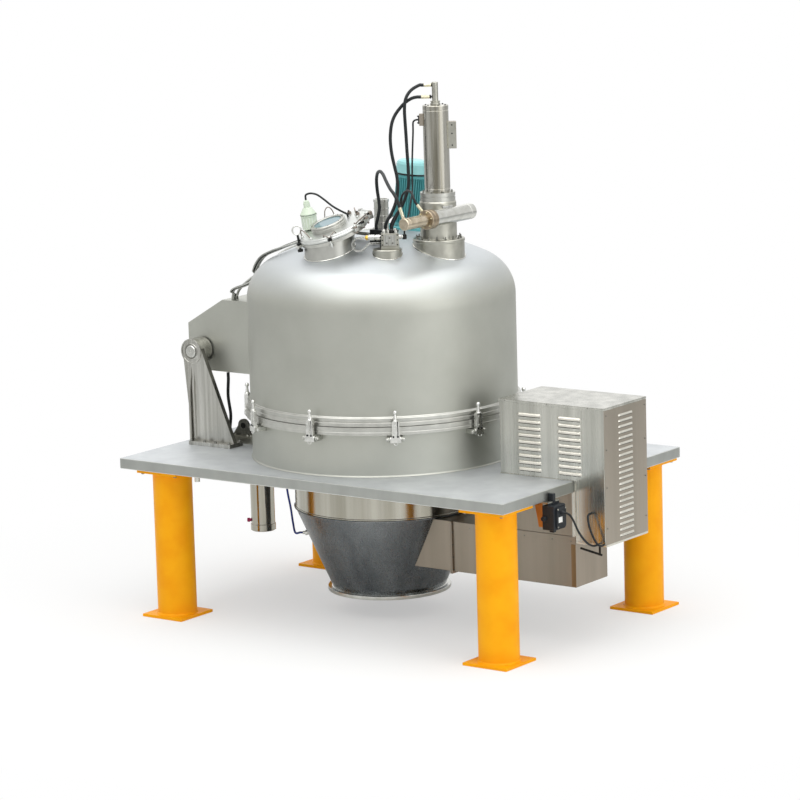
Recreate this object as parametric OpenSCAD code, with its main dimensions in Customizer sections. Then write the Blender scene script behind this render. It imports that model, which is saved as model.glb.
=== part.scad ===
// Flat-plate scraper centrifuge with a tilting cover and bottom discharge.
// X runs along the plate, from the cover hinge to the drive. Y runs to the back. Z is up.
// The origin is on the floor, under the middle of the machine's outline.

/* [Deck] */
// Length of the deck plate
plate_l = 2600; // [2400:10:2800]
// Width of the deck plate
plate_w = 1740; // [1660:10:1900]
// Thickness of the deck plate
plate_t = 60; // [40:5:80]
// Height of the deck plate's top above the floor
plate_top = 900; // [860:10:960]

/* [Columns] */
// Outside diameter of a column
column_d = 220; // [180:1:240]
// Wall of a column
column_wall = 8; // [5:1:15]
// Side of the square foot and head flanges
foot_side = 280; // [260:5:300]
// Thickness of the foot and head flanges
foot_t = 16; // [12:1:25]
// Distance from the plate's hinge end to the columns there
column_inset_hinge = 250; // [200:5:280]
// Distance from the plate's drive end to the columns there
column_inset_drive = 153; // [150:1:170]
// Distance from the plate's long edges to the columns
column_inset_side = 153; // [150:1:170]
// Diameter of an anchor hole in a foot
anchor_d = 22; // [14:1:26]
// Spacing of the anchor holes in a foot
anchor_pitch = 232; // [228:1:240]

/* [Vessel] */
// Distance from the plate's hinge end to the spindle axis
spindle_inset = 1210; // [1190:5:1230]
// Outside diameter of the lower casing
casing_d = 1486; // [1470:2:1490]
// How far the cover's shell stands out past the casing's shell
cover_over = 3; // [2:0.5:5]
// Thickness of the casing and cover shells
shell_t = 8; // [5:1:10]
// Height of the joint between casing and cover above the plate
joint_h = 278; // [260:1:300]
// Width of the casing's ring outside its shell
casing_ring_w = 29; // [24:1:32]
// Thickness of the casing's ring
casing_ring_t = 44; // [30:1:50]
// Width of the cover's ring outside its shell
cover_ring_w = 16; // [12:1:18]
// Thickness of the cover's ring
cover_ring_t = 48; // [30:1:60]
// Height of the cover's straight wall above the plate
wall_h = 880; // [870:5:890]
// Radius of the knuckle between the wall and the crown
knuckle_r = 240; // [200:5:260]
// Radius of the crown
crown_r = 1400; // [1300:10:1500]

/* [Outlet] */
// Outside diameter of the skirt under the plate
skirt_d = 1032; // [1010:2:1060]
// Height of the skirt
skirt_h = 233; // [230:1:240]
// Outside diameter of the cone at its lower end
outlet_d = 640; // [620:2:660]
// Outside diameter of the outlet flange
outlet_flange_d = 692; // [690:2:720]
// Thickness of the outlet flange
outlet_flange_t = 20; // [12:1:24]
// Height of the outlet flange's face above the floor
outlet_h = 124; // [110:1:160]
// Diameter of a bolt hole in the outlet flange
outlet_hole_d = 12; // [8:1:14]
// Bolt circle of the outlet flange
outlet_pcd = 668; // [666:1:670]

/* [Basket] */
// Outside diameter of the basket
basket_d = 1250; // [1200:10:1250]
// Height of the basket
basket_h = 480; // [440:10:480]
// Thickness of the basket's wall
basket_wall = 10; // [6:1:12]

/* [Drive] */
// Length of the motor guard
guard_l = 670; // [640:5:690]
// Width of the motor guard
guard_w = 420; // [400:5:424]
// Height of the motor guard above the plate
guard_h = 410; // [380:5:440]
// How far the motor guard reaches past the plate
guard_over = 200; // [180:5:240]
// Height of the motor guard's lower edge above the floor
guard_low = 560; // [540:5:590]
// Thickness of the guard sheets
sheet_t = 4; // [2:0.5:6]
// Width of the belt guard
belt_w = 306; // [290:2:330]
// Distance of the belt guard's middle from the machine's middle
belt_off = 58; // [45:1:60]
// Height of the belt guard's bottom above the floor
belt_low = 320; // [300:5:340]
// Height of the belt guard
belt_h = 280; // [260:5:285]
// How far the belt guard reaches past the plate
belt_over = 10; // [5:1:20]

/* [Cover hinge] */
// Distance of the hinge pin from the plate's hinge end
pin_inset = 100; // [90:2:110]
// Height of the hinge pin above the plate
pin_h = 530; // [520:2:540]
// Diameter of the hinge pin
pin_d = 72; // [60:1:80]
// Width of the cover's arm
arm_w = 436; // [400:2:450]
// Gap between the arm and a bracket's boss
arm_gap = 10; // [8:1:15]
// Radius of the bracket's head
head_r = 72; // [66:1:76]
// Length of the bracket's boss
boss_l = 105; // [95:1:115]
// Thickness of the bracket's plate
cheek_t = 30; // [20:1:35]
// Length of the bracket's foot
bracket_l = 300; // [280:5:310]
// Width of the bracket's foot
bracket_w = 120; // [110:2:130]

/* [Clamps] */
// Angle of the first clamp
clamp_first = -14; // [-15:0.5:-13.5]
// Distance of the clamp pivots outside the casing's ring
clamp_stand = 20; // [18:1:26]
// Height of the clamp pivots above the plate
clamp_h = 215; // [208:1:216]
// Length of a clamp above its pivot
clamp_l = 160; // [150:2:164]
// Width of a clamp's body
clamp_w = 44; // [40:1:46]

/* [Hidden] */
$fn = 96;

steel = "#b9bab4";
dark_steel = "#5f6262";
yellow = "#fab423";
teal = "#3c9696";

// Outline of the machine along X, from the plate's hinge end to the guard's drive end
hinge_end = -(plate_l + guard_over) / 2;
drive_end = hinge_end + plate_l;
plate_low = plate_top - plate_t;

// Column places
column_x = [hinge_end + column_inset_hinge, drive_end - column_inset_drive];
column_y = plate_w / 2 - column_inset_side;

// Vessel
spindle_x = hinge_end + spindle_inset;
cover_d = casing_d + 2 * cover_over;
casing_ring_d = casing_d + 2 * casing_ring_w;
cover_ring_d = cover_d + 2 * cover_ring_w;
clamp_r = casing_ring_d / 2 + clamp_stand;
joint_z = plate_top + joint_h;
joint_gap = 2;
wall_z = plate_top + wall_h;
knuckle_x = cover_d / 2 - knuckle_r;
crown_drop = sqrt(pow(crown_r - knuckle_r, 2) - pow(knuckle_x, 2));
crown_z = wall_z - crown_drop;
apex_z = crown_z + crown_r;

// Outlet
skirt_low = plate_low - skirt_h;
cone_low = outlet_h + outlet_flange_t;
discharge_d = skirt_d - 2 * shell_t;

// Drive
guard_x = hinge_end + plate_l + guard_over - guard_l;
belt_end = drive_end + belt_over;
belt_front = -belt_off - belt_w / 2;
belt_back = belt_front + belt_w;
belt_seam_x = spindle_x + 580;
hub_d = 300;

// Hinge
pin_x = hinge_end + pin_inset;
pin_z = plate_top + pin_h;
pin_gap = 1;
boss_y = arm_w / 2 + arm_gap;
cheek_y = boss_y + boss_l - cheek_t - 5;
foot_plate_t = 22;

function unit(v) = v / norm(v);
// Height of the cover's outer face at a distance from the spindle axis, on the crown
function crown_top(r) = crown_z + sqrt(crown_r * crown_r - r * r);

// Points of a smooth line that runs through the given points
function spline(p, steps) = [
    for (i = [0 : len(p) - 2]) for (j = [0 : steps - 1]) let (
        a = p[max(i - 1, 0)], b = p[i], c = p[i + 1], d = p[min(i + 2, len(p) - 1)], t = j / steps)
        (2 * b + (c - a) * t + (2 * a - 5 * b + 4 * c - d) * t * t
            + (3 * b - a - 3 * c + d) * t * t * t) / 2,
    p[len(p) - 1]
];
function along(q, i) = unit(q[min(i + 1, len(q) - 1)] - q[max(i - 1, 0)]);
function square_to(v, t) = unit(v - (v * t) * t);
function across(q, i, v, out) = i == len(q) ? out :
    let (n = square_to(v, along(q, i))) across(q, i + 1, n, concat(out, [n]));

// A round tube along a line of points, swept ring by ring
module tube(p, d, steps = 2, sides = 8) {
    q = spline(p, steps);
    n = across(q, 0, [0.31, 0.53, 0.79], []);
    last = (len(q) - 1) * sides;
    polyhedron(
        points = [
            for (i = [0 : len(q) - 1]) for (k = [0 : sides - 1]) let (a = 360 * k / sides)
                q[i] + d / 2 * (cos(a) * n[i] + sin(a) * cross(along(q, i), n[i]))
        ],
        faces = concat(
            [[for (k = [0 : sides - 1]) k]],
            [for (i = [0 : len(q) - 2]) for (k = [0 : sides - 1]) let (l = (k + 1) % sides)
                [i * sides + k, (i + 1) * sides + k, (i + 1) * sides + l]],
            [for (i = [0 : len(q) - 2]) for (k = [0 : sides - 1]) let (l = (k + 1) % sides)
                [i * sides + k, (i + 1) * sides + l, i * sides + l]],
            [[for (k = [0 : sides - 1]) last + sides - 1 - k]]
        )
    );
}

// Three points in line at a cord's end, so that it meets its face squarely
function lead(end, way, step) = [end, end + step * way, end + 2 * step * way];
function tail(end, way, step) = [end + 2 * step * way, end + step * way, end];

// A straight round bar from one point to another
module bar(a, b, d) {
    v = b - a;
    translate(a) rotate([0, acos(v[2] / norm(v)), atan2(v[1], v[0])]) cylinder(d = d, h = norm(v), $fn = 48);
}

// A pipe standing on z = 0
module pipe(d, wall, h) {
    difference() {
        cylinder(d = d, h = h);
        translate([0, 0, -1]) cylinder(d = d - 2 * wall, h = h + 2);
    }
}

// A block given by its two opposite corners
module block(a, b) {
    translate(a) cube(b - a);
}

module deck_plate() {
    color(steel) difference() {
        block([hinge_end, -plate_w / 2, plate_low], [drive_end, plate_w / 2, plate_top]);
        translate([spindle_x, 0, plate_low - 1]) cylinder(d = discharge_d, h = plate_t + 2);
        translate([lift_x, 0, plate_low - 1]) cylinder(d = lift_rod_d + 4, h = plate_t + 2);
    }
}

// A pipe column with a square flange at each end. Four anchor holes are in the foot.
module column(x, y) {
    color(yellow) translate([x, y, 0]) {
        difference() {
            translate([-foot_side / 2, -foot_side / 2, 0]) cube([foot_side, foot_side, foot_t]);
            for (i = [-1, 1])
                for (j = [-1, 1])
                    translate([i * anchor_pitch / 2, j * anchor_pitch / 2, -1])
                        cylinder(d = anchor_d, h = foot_t + 2);
        }
        translate([0, 0, foot_t]) pipe(column_d, column_wall, plate_low - 2 * foot_t);
        translate([-foot_side / 2, -foot_side / 2, plate_low - foot_t])
            cube([foot_side, foot_side, foot_t]);
    }
}

module column_front_hinge() { column(column_x[0], -column_y); }
module column_front_drive() { column(column_x[1], -column_y); }
module column_back_hinge() { column(column_x[0], column_y); }
module column_back_drive() { column(column_x[1], column_y); }

// Angle of each clamp from the first, round to the right
clamp_steps = [0, 35.5, 70, 104, 144, 180, 216, 252, 288, 324];

// Places something at clamp number i, with X pointing outward and the pivot at the origin
module at_clamp(i) {
    translate([spindle_x, 0, plate_top + clamp_h])
        rotate([0, 0, clamp_first - clamp_steps[i - 1]])
            translate([clamp_r, 0, 0]) children();
}

ear_t = 10;
ear_gap = 66;
clamp_pin_d = 14;

// Two ears on the casing's wall carry each clamp's pin
module clamp_ears() {
    for (side = [-1, 1]) {
        translate([0, side * (ear_gap + ear_t) / 2, 0]) rotate([90, 0, 0])
            cylinder(r = 13, h = ear_t, center = true);
        translate([-clamp_r + casing_d / 2 - 30, side * (ear_gap + ear_t) / 2 - ear_t / 2, -13])
            cube([clamp_r - casing_d / 2 + 30, ear_t, 26]);
    }
    rotate([90, 0, 0]) cylinder(d = clamp_pin_d, h = ear_gap + 2 * ear_t + 12, center = true);
}

module lower_casing() {
    color(steel) {
        translate([spindle_x, 0, plate_top]) pipe(casing_d, shell_t, joint_h);
        translate([spindle_x, 0, joint_z - casing_ring_t])
            pipe(casing_ring_d, (casing_ring_d - casing_d) / 2 + shell_t, casing_ring_t);
        for (i = [1:10]) at_clamp(i) difference() {
            clamp_ears();
            translate([-clamp_r, 0, -60]) cylinder(d = casing_d - shell_t, h = 120);
        }
    }
}

module outlet_skirt() {
    color(steel) translate([spindle_x, 0, skirt_low]) {
        pipe(skirt_d, shell_t, skirt_h);
        pipe(skirt_d + 16, 16, 14);
    }
}

// Fitting on the cone's wall for the drain hose, from the wall outward
drain_z = 430;
drain_dir = [cos(207), sin(207), 0];
drain_wall = (outlet_d + (skirt_d - outlet_d) * (drain_z - cone_low) / (skirt_low - cone_low)) / 2;
drain_root = (drain_wall - shell_t / 2) * drain_dir + [0, 0, drain_z];
drain_end = (drain_wall + 46) * drain_dir + [0, 0, drain_z];

module belt_window() {
    block([spindle_x, belt_front, belt_low], [belt_end, belt_back, belt_low + belt_h]);
}

module outlet_cone() {
    color(dark_steel) difference() {
        translate([spindle_x, 0, 0]) union() {
            rotate_extrude() polygon([
                [outlet_d / 2 - shell_t, cone_low], [outlet_d / 2, cone_low],
                [skirt_d / 2, skirt_low], [skirt_d / 2 - shell_t, skirt_low]
            ]);
            bar(drain_root, drain_end, 24);
            difference() {
                translate([0, 0, outlet_h])
                    pipe(outlet_flange_d, (outlet_flange_d - outlet_d) / 2 + shell_t, outlet_flange_t);
                for (k = [0:11])
                    rotate([0, 0, 30 * k + 15]) translate([outlet_pcd / 2, 0, outlet_h - 1])
                        cylinder(d = outlet_hole_d, h = outlet_flange_t + 2);
            }
        }
        belt_window();
    }
}

// The spindle's housing stands on the belt guard and carries the basket
module bearing_housing() {
    color(dark_steel) translate([spindle_x, 0, belt_low + belt_h])
        cylinder(d = hub_d, h = basket_low - belt_low - belt_h);
}

basket_low = plate_top + 40;
module basket() {
    color(steel) translate([spindle_x, 0, basket_low]) {
        pipe(basket_d, basket_wall, basket_h);
        translate([0, 0, basket_h - 12]) pipe(basket_d, 110, 12);
        difference() {
            cylinder(d = basket_d, h = 20);
            for (k = [0:3]) rotate([0, 0, 90 * k + 45]) intersection() {
                translate([0, 0, -1]) pipe(basket_d - 160, 280, 22);
                translate([60, 60, -1]) cube([600, 600, 22]);
            }
        }
        cylinder(d1 = hub_d + 60, d2 = 120, h = 160);
    }
}

// The belt guard's round end encloses the pulley under the spindle
module belt_guard() {
    color(steel) difference() {
        union() {
            belt_window();
            translate([spindle_x, 0, belt_low]) cylinder(d = hub_d, h = belt_h);
            block([belt_seam_x, belt_front - 12, belt_low - 12],
                [belt_seam_x + 16, belt_back + 12, belt_low + belt_h]);
        }
        block([spindle_x, belt_front + sheet_t, belt_low + sheet_t],
            [belt_end - sheet_t, belt_back - sheet_t, belt_low + belt_h - sheet_t]);
        translate([spindle_x, 0, belt_low + sheet_t])
            cylinder(d = hub_d - 2 * sheet_t, h = belt_h - 2 * sheet_t);
    }
}

louver_h = 16;
louver_out = 7;

// A pressed louver hood on a face whose outward normal is -Y, centred on the origin
module louver(length) {
    rotate([90, 0, 90]) linear_extrude(height = length, center = true)
        polygon([[0, louver_h / 2], [-louver_out, -louver_h / 2 + 4], [-louver_out, -louver_h / 2],
            [0, -louver_h / 2]]);
}

module motor_guard() {
    right = hinge_end + plate_l + guard_over;
    top = plate_top + guard_h;
    front = -guard_w / 2;
    color(steel) {
        difference() {
            union() {
                block([guard_x, front, plate_top], [right, -front, top]);
                block([drive_end, front, guard_low], [right, -front, plate_top]);
            }
            block([guard_x + sheet_t, front + sheet_t, plate_top - 1],
                [drive_end, -front - sheet_t, top - sheet_t]);
            block([drive_end + sheet_t, front + sheet_t, guard_low - 1],
                [right - sheet_t, -front - sheet_t, top - sheet_t]);
            block([drive_end - 1, front + sheet_t, plate_top],
                [drive_end + sheet_t + 1, -front - sheet_t, top - sheet_t]);
            belt_window();
        }
        for (column = [0, 1])
            for (k = [0:8])
                translate([guard_x + 195 + 255 * column, front, top - 75 - 37 * k]) louver(150);
        for (k = [0:21])
            translate([right, 0, top - 60 - 31 * k]) rotate([0, 0, 90]) louver(150);
    }
}

// One bracket of the cover hinge. The other is its mirror image.
module hinge_bracket() {
    left = pin_x - 8;
    foot_y = -cheek_y - cheek_t - 45;
    color(steel) difference() {
        union() {
            translate([pin_x, -boss_y, pin_z]) rotate([90, 0, 0]) cylinder(r = head_r, h = boss_l);
            translate([pin_x, -cheek_y, pin_z]) rotate([90, 0, 0]) linear_extrude(height = cheek_t)
                polygon([
                    [-head_r, 0], [head_r * cos(15), head_r * sin(15)],
                    [left - pin_x + bracket_l - 6, -pin_h + foot_plate_t],
                    [left - pin_x + 6, -pin_h + foot_plate_t]
                ]);
            block([left, foot_y, plate_top], [left + bracket_l, foot_y + bracket_w, plate_top + foot_plate_t]);
            translate([left + 50, -cheek_y - cheek_t, plate_top + foot_plate_t]) rotate([90, 0, 90])
                linear_extrude(height = 20)
                    polygon([[0, 0], [-40, 0], [0, pin_h - foot_plate_t - head_r]]);
        }
        translate([pin_x, 0, pin_z]) rotate([90, 0, 0]) cylinder(d = pin_d, h = 2000, center = true);
    }
}

module hinge_bracket_front() { hinge_bracket(); }
module hinge_bracket_back() { mirror([0, 1, 0]) hinge_bracket(); }

module hinge_pin() {
    color(steel) translate([pin_x, 0, pin_z]) rotate([90, 0, 0])
        cylinder(d = pin_d, h = 2 * (boss_y + boss_l + 6), center = true);
}

lift_x = hinge_end + 316;
lift_d = 145;
lift_rod_d = 60;
lift_low = 355;

// Barrel of the lift cylinder under the plate and its rod above, drawn in
module lift_cylinder() {
    color(steel) translate([lift_x, 0, 0]) {
        translate([0, 0, lift_low]) cylinder(d = lift_d, h = plate_low - lift_low);
        translate([0, 0, plate_low]) cylinder(d = lift_rod_d, h = arm_low - 12 - plate_low);
    }
}

// A base bar with a drilled lug, behind the front bracket
module pivot_lug() {
    color(steel) translate([spindle_x - casing_d / 2 - 122, -180, plate_top]) {
        translate([-60, -30, 0]) cube([120, 60, 46]);
        difference() {
            union() {
                translate([0, 8, 100]) rotate([90, 0, 0]) cylinder(r = 38, h = 16);
                translate([0, 8, 46]) rotate([90, 0, 0]) linear_extrude(height = 16)
                    polygon([[-58, 0], [58, 0], [36, 62], [-36, 62]]);
            }
            translate([0, 20, 100]) rotate([90, 0, 0]) cylinder(r = 15, h = 40);
        }
    }
}

// A switch on an angle bracket under the plate's drive end
switch_x = drive_end + 29;
switch_y = -435;
switch_l = 46;
switch_w = 66;

module vibration_switch() {
    color(dark_steel) {
        block([drive_end - 60, switch_y - 60, plate_low - 8], [switch_x, switch_y + 45, plate_low]);
        block([switch_x - 8, switch_y - 60, plate_low - 120], [switch_x, switch_y + 45, plate_low - 8]);
        translate([switch_x, switch_y - switch_w / 2, plate_low - 170]) cube([switch_l, switch_w, 210]);
        for (z = [-40, 10])
            bar([switch_x + 23, switch_y, plate_low + z], [switch_x + 23, switch_y - switch_w / 2 - 20, plate_low + z], 26);
        bar([switch_x + switch_l - 5, switch_y, plate_low - 60], [switch_x + switch_l + 16, switch_y, plate_low - 60], 22);
    }
}

// Area under the cover's outline, inset by t
module head_profile(t, low) {
    translate([0, low]) square([cover_d / 2 - t, wall_z - low]);
    translate([knuckle_x, wall_z]) circle(r = knuckle_r - t);
    translate([0, wall_z - 1]) square([knuckle_x, 60]);
    intersection() {
        translate([0, crown_z]) circle(r = crown_r - t);
        polygon([
            [0, crown_z], [0, crown_z + 1.2 * crown_r],
            [1.2 * knuckle_x * crown_r / (crown_r - knuckle_r),
                crown_z + 1.2 * crown_drop * crown_r / (crown_r - knuckle_r)]
        ]);
    }
}

module cover_shell() {
    color(steel) difference() {
        translate([spindle_x, 0, 0]) rotate_extrude($fn = 144) intersection() {
            difference() {
                head_profile(0, joint_z + joint_gap);
                head_profile(shell_t, joint_z);
            }
            translate([0, joint_z]) square([cover_d, 2000]);
        }
        translate([manhole_x, manhole_y, wall_z]) cylinder(d = neck_d - 2 * shell_t, h = 600);
    }
}

module cover_ring() {
    color(steel) translate([spindle_x, 0, joint_z + joint_gap])
        pipe(cover_ring_d, (cover_ring_d - cover_d) / 2, cover_ring_t);
}

arm_drop = 123;
arm_rise = 291;
arm_low = pin_z - arm_drop;
arm_top = pin_z + arm_rise;

// Welded box arm from the hinge pin to the cover's wall
module cover_arm() {
    color(steel) difference() {
        translate([0, arm_w / 2, 0]) rotate([90, 0, 0]) linear_extrude(height = arm_w)
            polygon([
                [pin_x - 107, arm_low], [spindle_x - 500, arm_low], [spindle_x - 500, arm_top],
                [pin_x + 148, arm_top], [pin_x - 107, arm_top - 148]
            ]);
        translate([0, arm_w / 2 - 12, 0]) rotate([90, 0, 0]) linear_extrude(height = arm_w - 24)
            polygon([
                [pin_x + 60, arm_low + 12], [spindle_x - 480, arm_low + 12],
                [spindle_x - 480, arm_top - 12], [pin_x + 154, arm_top - 12], [pin_x + 60, arm_top - 70]
            ]);
        translate([spindle_x, 0, arm_low - 10]) cylinder(d = cover_d, h = 600);
        translate([pin_x, 0, pin_z]) rotate([90, 0, 0])
            cylinder(d = pin_d + 2 * pin_gap, h = 2 * arm_w, center = true);
    }
}

// Manhole: an upright neck whose rim and lid slope down to the front
neck_d = 276;
lid_d = 390;
rim_t = 20;
manhole_x = spindle_x - 54;
manhole_y = -386;
manhole_lean = 20;
manhole_turn = -118;
lid_z = apex_z + 50;
lid_shift = 25;
lid_t = 26;
lid_gap = 1;
lid_hinge_r = lid_d / 2 + 18;
lid_pin_z = lid_gap + lid_t / 2;

// Places something on the rim's sloping face, with X pointing down the slope
module at_rim() {
    translate([manhole_x - lid_shift * cos(manhole_turn), manhole_y - lid_shift * sin(manhole_turn), lid_z])
        rotate([0, manhole_lean, manhole_turn]) children();
}

module manhole_neck() {
    color(steel) difference() {
        union() {
            difference() {
                translate([manhole_x, manhole_y, apex_z - 156]) pipe(neck_d, shell_t, 400);
                at_rim() translate([-400, -400, -1]) cube([800, 800, 600]);
            }
            at_rim() difference() {
                translate([0, 0, -rim_t]) cylinder(d = lid_d - 10, h = rim_t);
                at_rim_inverse() translate([manhole_x, manhole_y, apex_z - 156])
                    cylinder(d = neck_d - 2 * shell_t, h = 600);
            }
            at_rim() for (side = [-1, 1]) difference() {
                union() {
                    translate([-lid_hinge_r, side * 52, lid_pin_z]) rotate([90, 0, 0])
                        cylinder(r = 14, h = 16, center = true);
                    translate([-lid_hinge_r - 14, side * 52 - 8, -rim_t])
                        cube([60, 16, rim_t - 2]);
                    translate([-lid_hinge_r - 14, side * 52 - 8, -rim_t])
                        cube([16, 16, rim_t + lid_pin_z]);
                }
                translate([-lid_hinge_r, 0, lid_pin_z]) rotate([90, 0, 0])
                    cylinder(d = 13.2, h = 200, center = true);
            }
        }
        translate([spindle_x, 0, crown_z]) sphere(r = crown_r, $fn = 200);
    }
}

module at_rim_inverse() {
    rotate([0, -manhole_lean, 0]) rotate([0, 0, -manhole_turn])
        translate([-manhole_x + lid_shift * cos(manhole_turn), -manhole_y + lid_shift * sin(manhole_turn), -lid_z])
            children();
}

module manhole_lid() {
    color(steel) at_rim() {
        translate([0, 0, lid_gap]) cylinder(d = lid_d, h = lid_t);
        translate([-lid_hinge_r, 0, lid_pin_z]) rotate([90, 0, 0]) cylinder(r = 12, h = 76, center = true);
        translate([-lid_hinge_r, -38, lid_pin_z - 8]) cube([40, 76, 16]);
        translate([-lid_hinge_r, 0, lid_pin_z]) rotate([90, 0, 0]) cylinder(d = 13, h = 130, center = true);
    }
}

glass_d = 196;
glass_x = 15;
lamp_x = 70;
lamp_y = -135;
lamp_lean = 8;
lamp_h = 160;
lid_face = lid_gap + lid_t;

module sight_glass() {
    color("#8ca5aa") at_rim() translate([glass_x, 0, lid_face]) cylinder(d = glass_d, h = 34);
}

// The lamp stands steeper than the lid
module at_lamp() {
    at_rim() translate([lamp_x, lamp_y, lid_face]) rotate([0, lamp_lean - manhole_lean, 0]) children();
}

module sight_lamp() {
    color("#d7e4cd") difference() {
        at_lamp() {
            translate([0, 0, -20]) cylinder(d = 80, h = 60);
            translate([0, 0, 40]) cylinder(d = 96, h = 42);
            translate([0, 0, 82]) cylinder(d1 = 84, d2 = 50, h = 36);
            translate([0, 0, 118]) cylinder(d = 36, h = lamp_h - 118);
        }
        at_rim() translate([-300, -300, lid_face - 200]) cube([600, 600, 200]);
    }
}

vent_d = 80;
vent_x = spindle_x + 10;
vent_y = 10;
vent_top = apex_z + 182;

module vent_nozzle() {
    color(steel) difference() {
        translate([vent_x, vent_y, apex_z - 56]) cylinder(d = vent_d, h = vent_top - apex_z + 56);
        translate([spindle_x, 0, crown_z]) sphere(r = crown_r, $fn = 200);
    }
}

sensor_x = spindle_x + 281;
sensor_y = -311;
sensor_top = apex_z - 38;
sensor_d = 160;
sensor_port_z = sensor_top + 62;
// Direction in which the block's two fittings point
port_turn = 36;
port_dir = [cos(port_turn), sin(port_turn), 0];
port_side = [-sin(port_turn), cos(port_turn), 0];
sensor_left = -120;
sensor_right = 95;

module sensor_stand() {
    color(steel) difference() {
        translate([sensor_x, sensor_y, 0]) rotate([0, 0, port_turn]) {
            translate([0, 0, sensor_top - 90]) cylinder(d = sensor_d, h = 90);
            translate([-34, -36, sensor_top]) cube([100, 72, 86]);
            translate([0, 0, sensor_port_z]) {
                bar([-34, 0, 0], [-104, 0, 0], 32);
                bar([-104, 0, 0], [sensor_left, 0, 0], 26);
                bar([66, 0, 0], [sensor_right, 0, 0], 24);
            }
            translate([sensor_right, 0, sensor_port_z - 14]) cylinder(d = 24, h = 28);
        }
        translate([spindle_x, 0, crown_z]) sphere(r = crown_r, $fn = 200);
    }
}

scraper_x = spindle_x + 421;
scraper_y = -25;
scraper_base_d = 285;
scraper_neck_d = 200;
scraper_flange_d = 192;
base_top = apex_z - 6;
neck_top = apex_z + 200;
ram_low = apex_z + 246;
ram_top = apex_z + 720;
ram_d = 140;
ram_stub_d = 34;
ram_port_low = ram_top + 44;
ram_port_high = ram_top + 108;

module scraper_base() {
    color(steel) difference() {
        translate([scraper_x, scraper_y, 0]) {
            translate([0, 0, base_top - 150]) cylinder(d = scraper_base_d, h = 150);
            translate([0, 0, base_top]) cylinder(d = scraper_neck_d, h = neck_top - base_top);
            translate([0, 0, neck_top]) cylinder(d = scraper_flange_d, h = 20);
            translate([0, 0, neck_top + 20]) cylinder(d = scraper_flange_d - 12, h = 6);
            translate([0, 0, neck_top + 26]) cylinder(d = scraper_flange_d, h = ram_low - neck_top - 26);
        }
        translate([spindle_x, 0, crown_z]) sphere(r = crown_r, $fn = 200);
        translate([scraper_x + rotary_offset, scraper_y, rotary_z]) rotate([90, 0, 0])
            cylinder(d = rotary_d, h = 900, center = true);
    }
}

module scraper_cylinder() {
    axis = [scraper_x, scraper_y, 0];
    color(steel) {
        translate(axis) {
            translate([0, 0, ram_low]) cylinder(d = ram_d, h = ram_top - ram_low);
            translate([0, 0, ram_top]) cylinder(d = 54, h = 22);
            translate([0, 0, ram_top]) cylinder(d = ram_stub_d, h = 124);
        }
        bar([axis[0], axis[1], ram_port_high], hose_end_high, 20);
        bar([axis[0], axis[1], ram_port_low], hose_end_low, 20);
    }
}

// Guards of the two position switches on the ram
module position_switch() {
    color(steel) translate([scraper_x, scraper_y, 0]) difference() {
        union() {
            rotate([0, 0, port_turn]) translate([60, -22, ram_top - 239]) cube([50, 44, 148]);
            rotate([0, 0, port_turn + 180]) translate([60, -13, ram_top - 114]) cube([36, 26, 70]);
        }
        translate([0, 0, ram_low]) cylinder(d = ram_d, h = 500);
    }
}

rotary_offset = 100;
rotary_z = apex_z + 126;
rotary_d = 88;
rotary_back = 165;
rotary_front = 200;
rotary_ring_d = 106;
rotary_ring_t = 60;
rotary_end_d = 66;
rotary_end_l = 200;

module rotary_cylinder() {
    x = scraper_x + rotary_offset;
    color(steel) {
        translate([x, scraper_y, rotary_z]) rotate([90, 0, 0]) {
            translate([0, 0, -rotary_back]) cylinder(d = rotary_d, h = rotary_back + rotary_front);
            translate([0, 0, rotary_front]) cylinder(d = rotary_ring_d, h = rotary_ring_t);
            translate([0, 0, rotary_front + rotary_ring_t]) cylinder(d = rotary_end_d, h = rotary_end_l);
        }
        bar(ring_foot, hose_end_ring, 18);
        bar(rotary_foot, hose_end_rotary, 18);
    }
}

// Hose ends at their fittings
hose_end_high = [scraper_x, scraper_y, ram_port_high] - 60 * port_dir;
hose_end_low = [scraper_x, scraper_y, ram_port_low] - 76 * port_dir;
hose_end_ring = [scraper_x + rotary_offset - 50, scraper_y - rotary_front - 63, rotary_z + 82];
hose_end_rotary = [scraper_x + rotary_offset - 22, scraper_y - rotary_front - rotary_ring_t - rotary_end_l,
    rotary_z + 92];
// Feet of the rotary cylinder's two fittings, on its axis
ring_foot = [scraper_x + rotary_offset, scraper_y - rotary_front - 30, rotary_z];
rotary_foot = [scraper_x + rotary_offset, scraper_y - rotary_front - rotary_ring_t - rotary_end_l + 18, rotary_z];
function fitting_way(foot, end) = unit(end - foot);

motor_x = spindle_x - 20;
motor_y = 290;
motor_lean = 6;
motor_flange_d = 230;
motor_flange_t = 50;
motor_d = 176;
motor_l = 290;
cowl_d = 184;
cowl_l = 82;
motor_foot = crown_top(norm([motor_x - spindle_x, motor_y])) - 20;
box_port = [-45, 100, 115];

module at_motor() {
    translate([motor_x, motor_y, motor_foot]) rotate([0, motor_lean, port_turn]) children();
}

// A point of the motor's own frame in the machine's frame
function motor_point(p) =
    let (x = p[0] * cos(motor_lean) + p[2] * sin(motor_lean))
    [motor_x, motor_y, motor_foot] + [
        x * cos(port_turn) - p[1] * sin(port_turn),
        x * sin(port_turn) + p[1] * cos(port_turn),
        p[2] * cos(motor_lean) - p[0] * sin(motor_lean)
    ];

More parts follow.
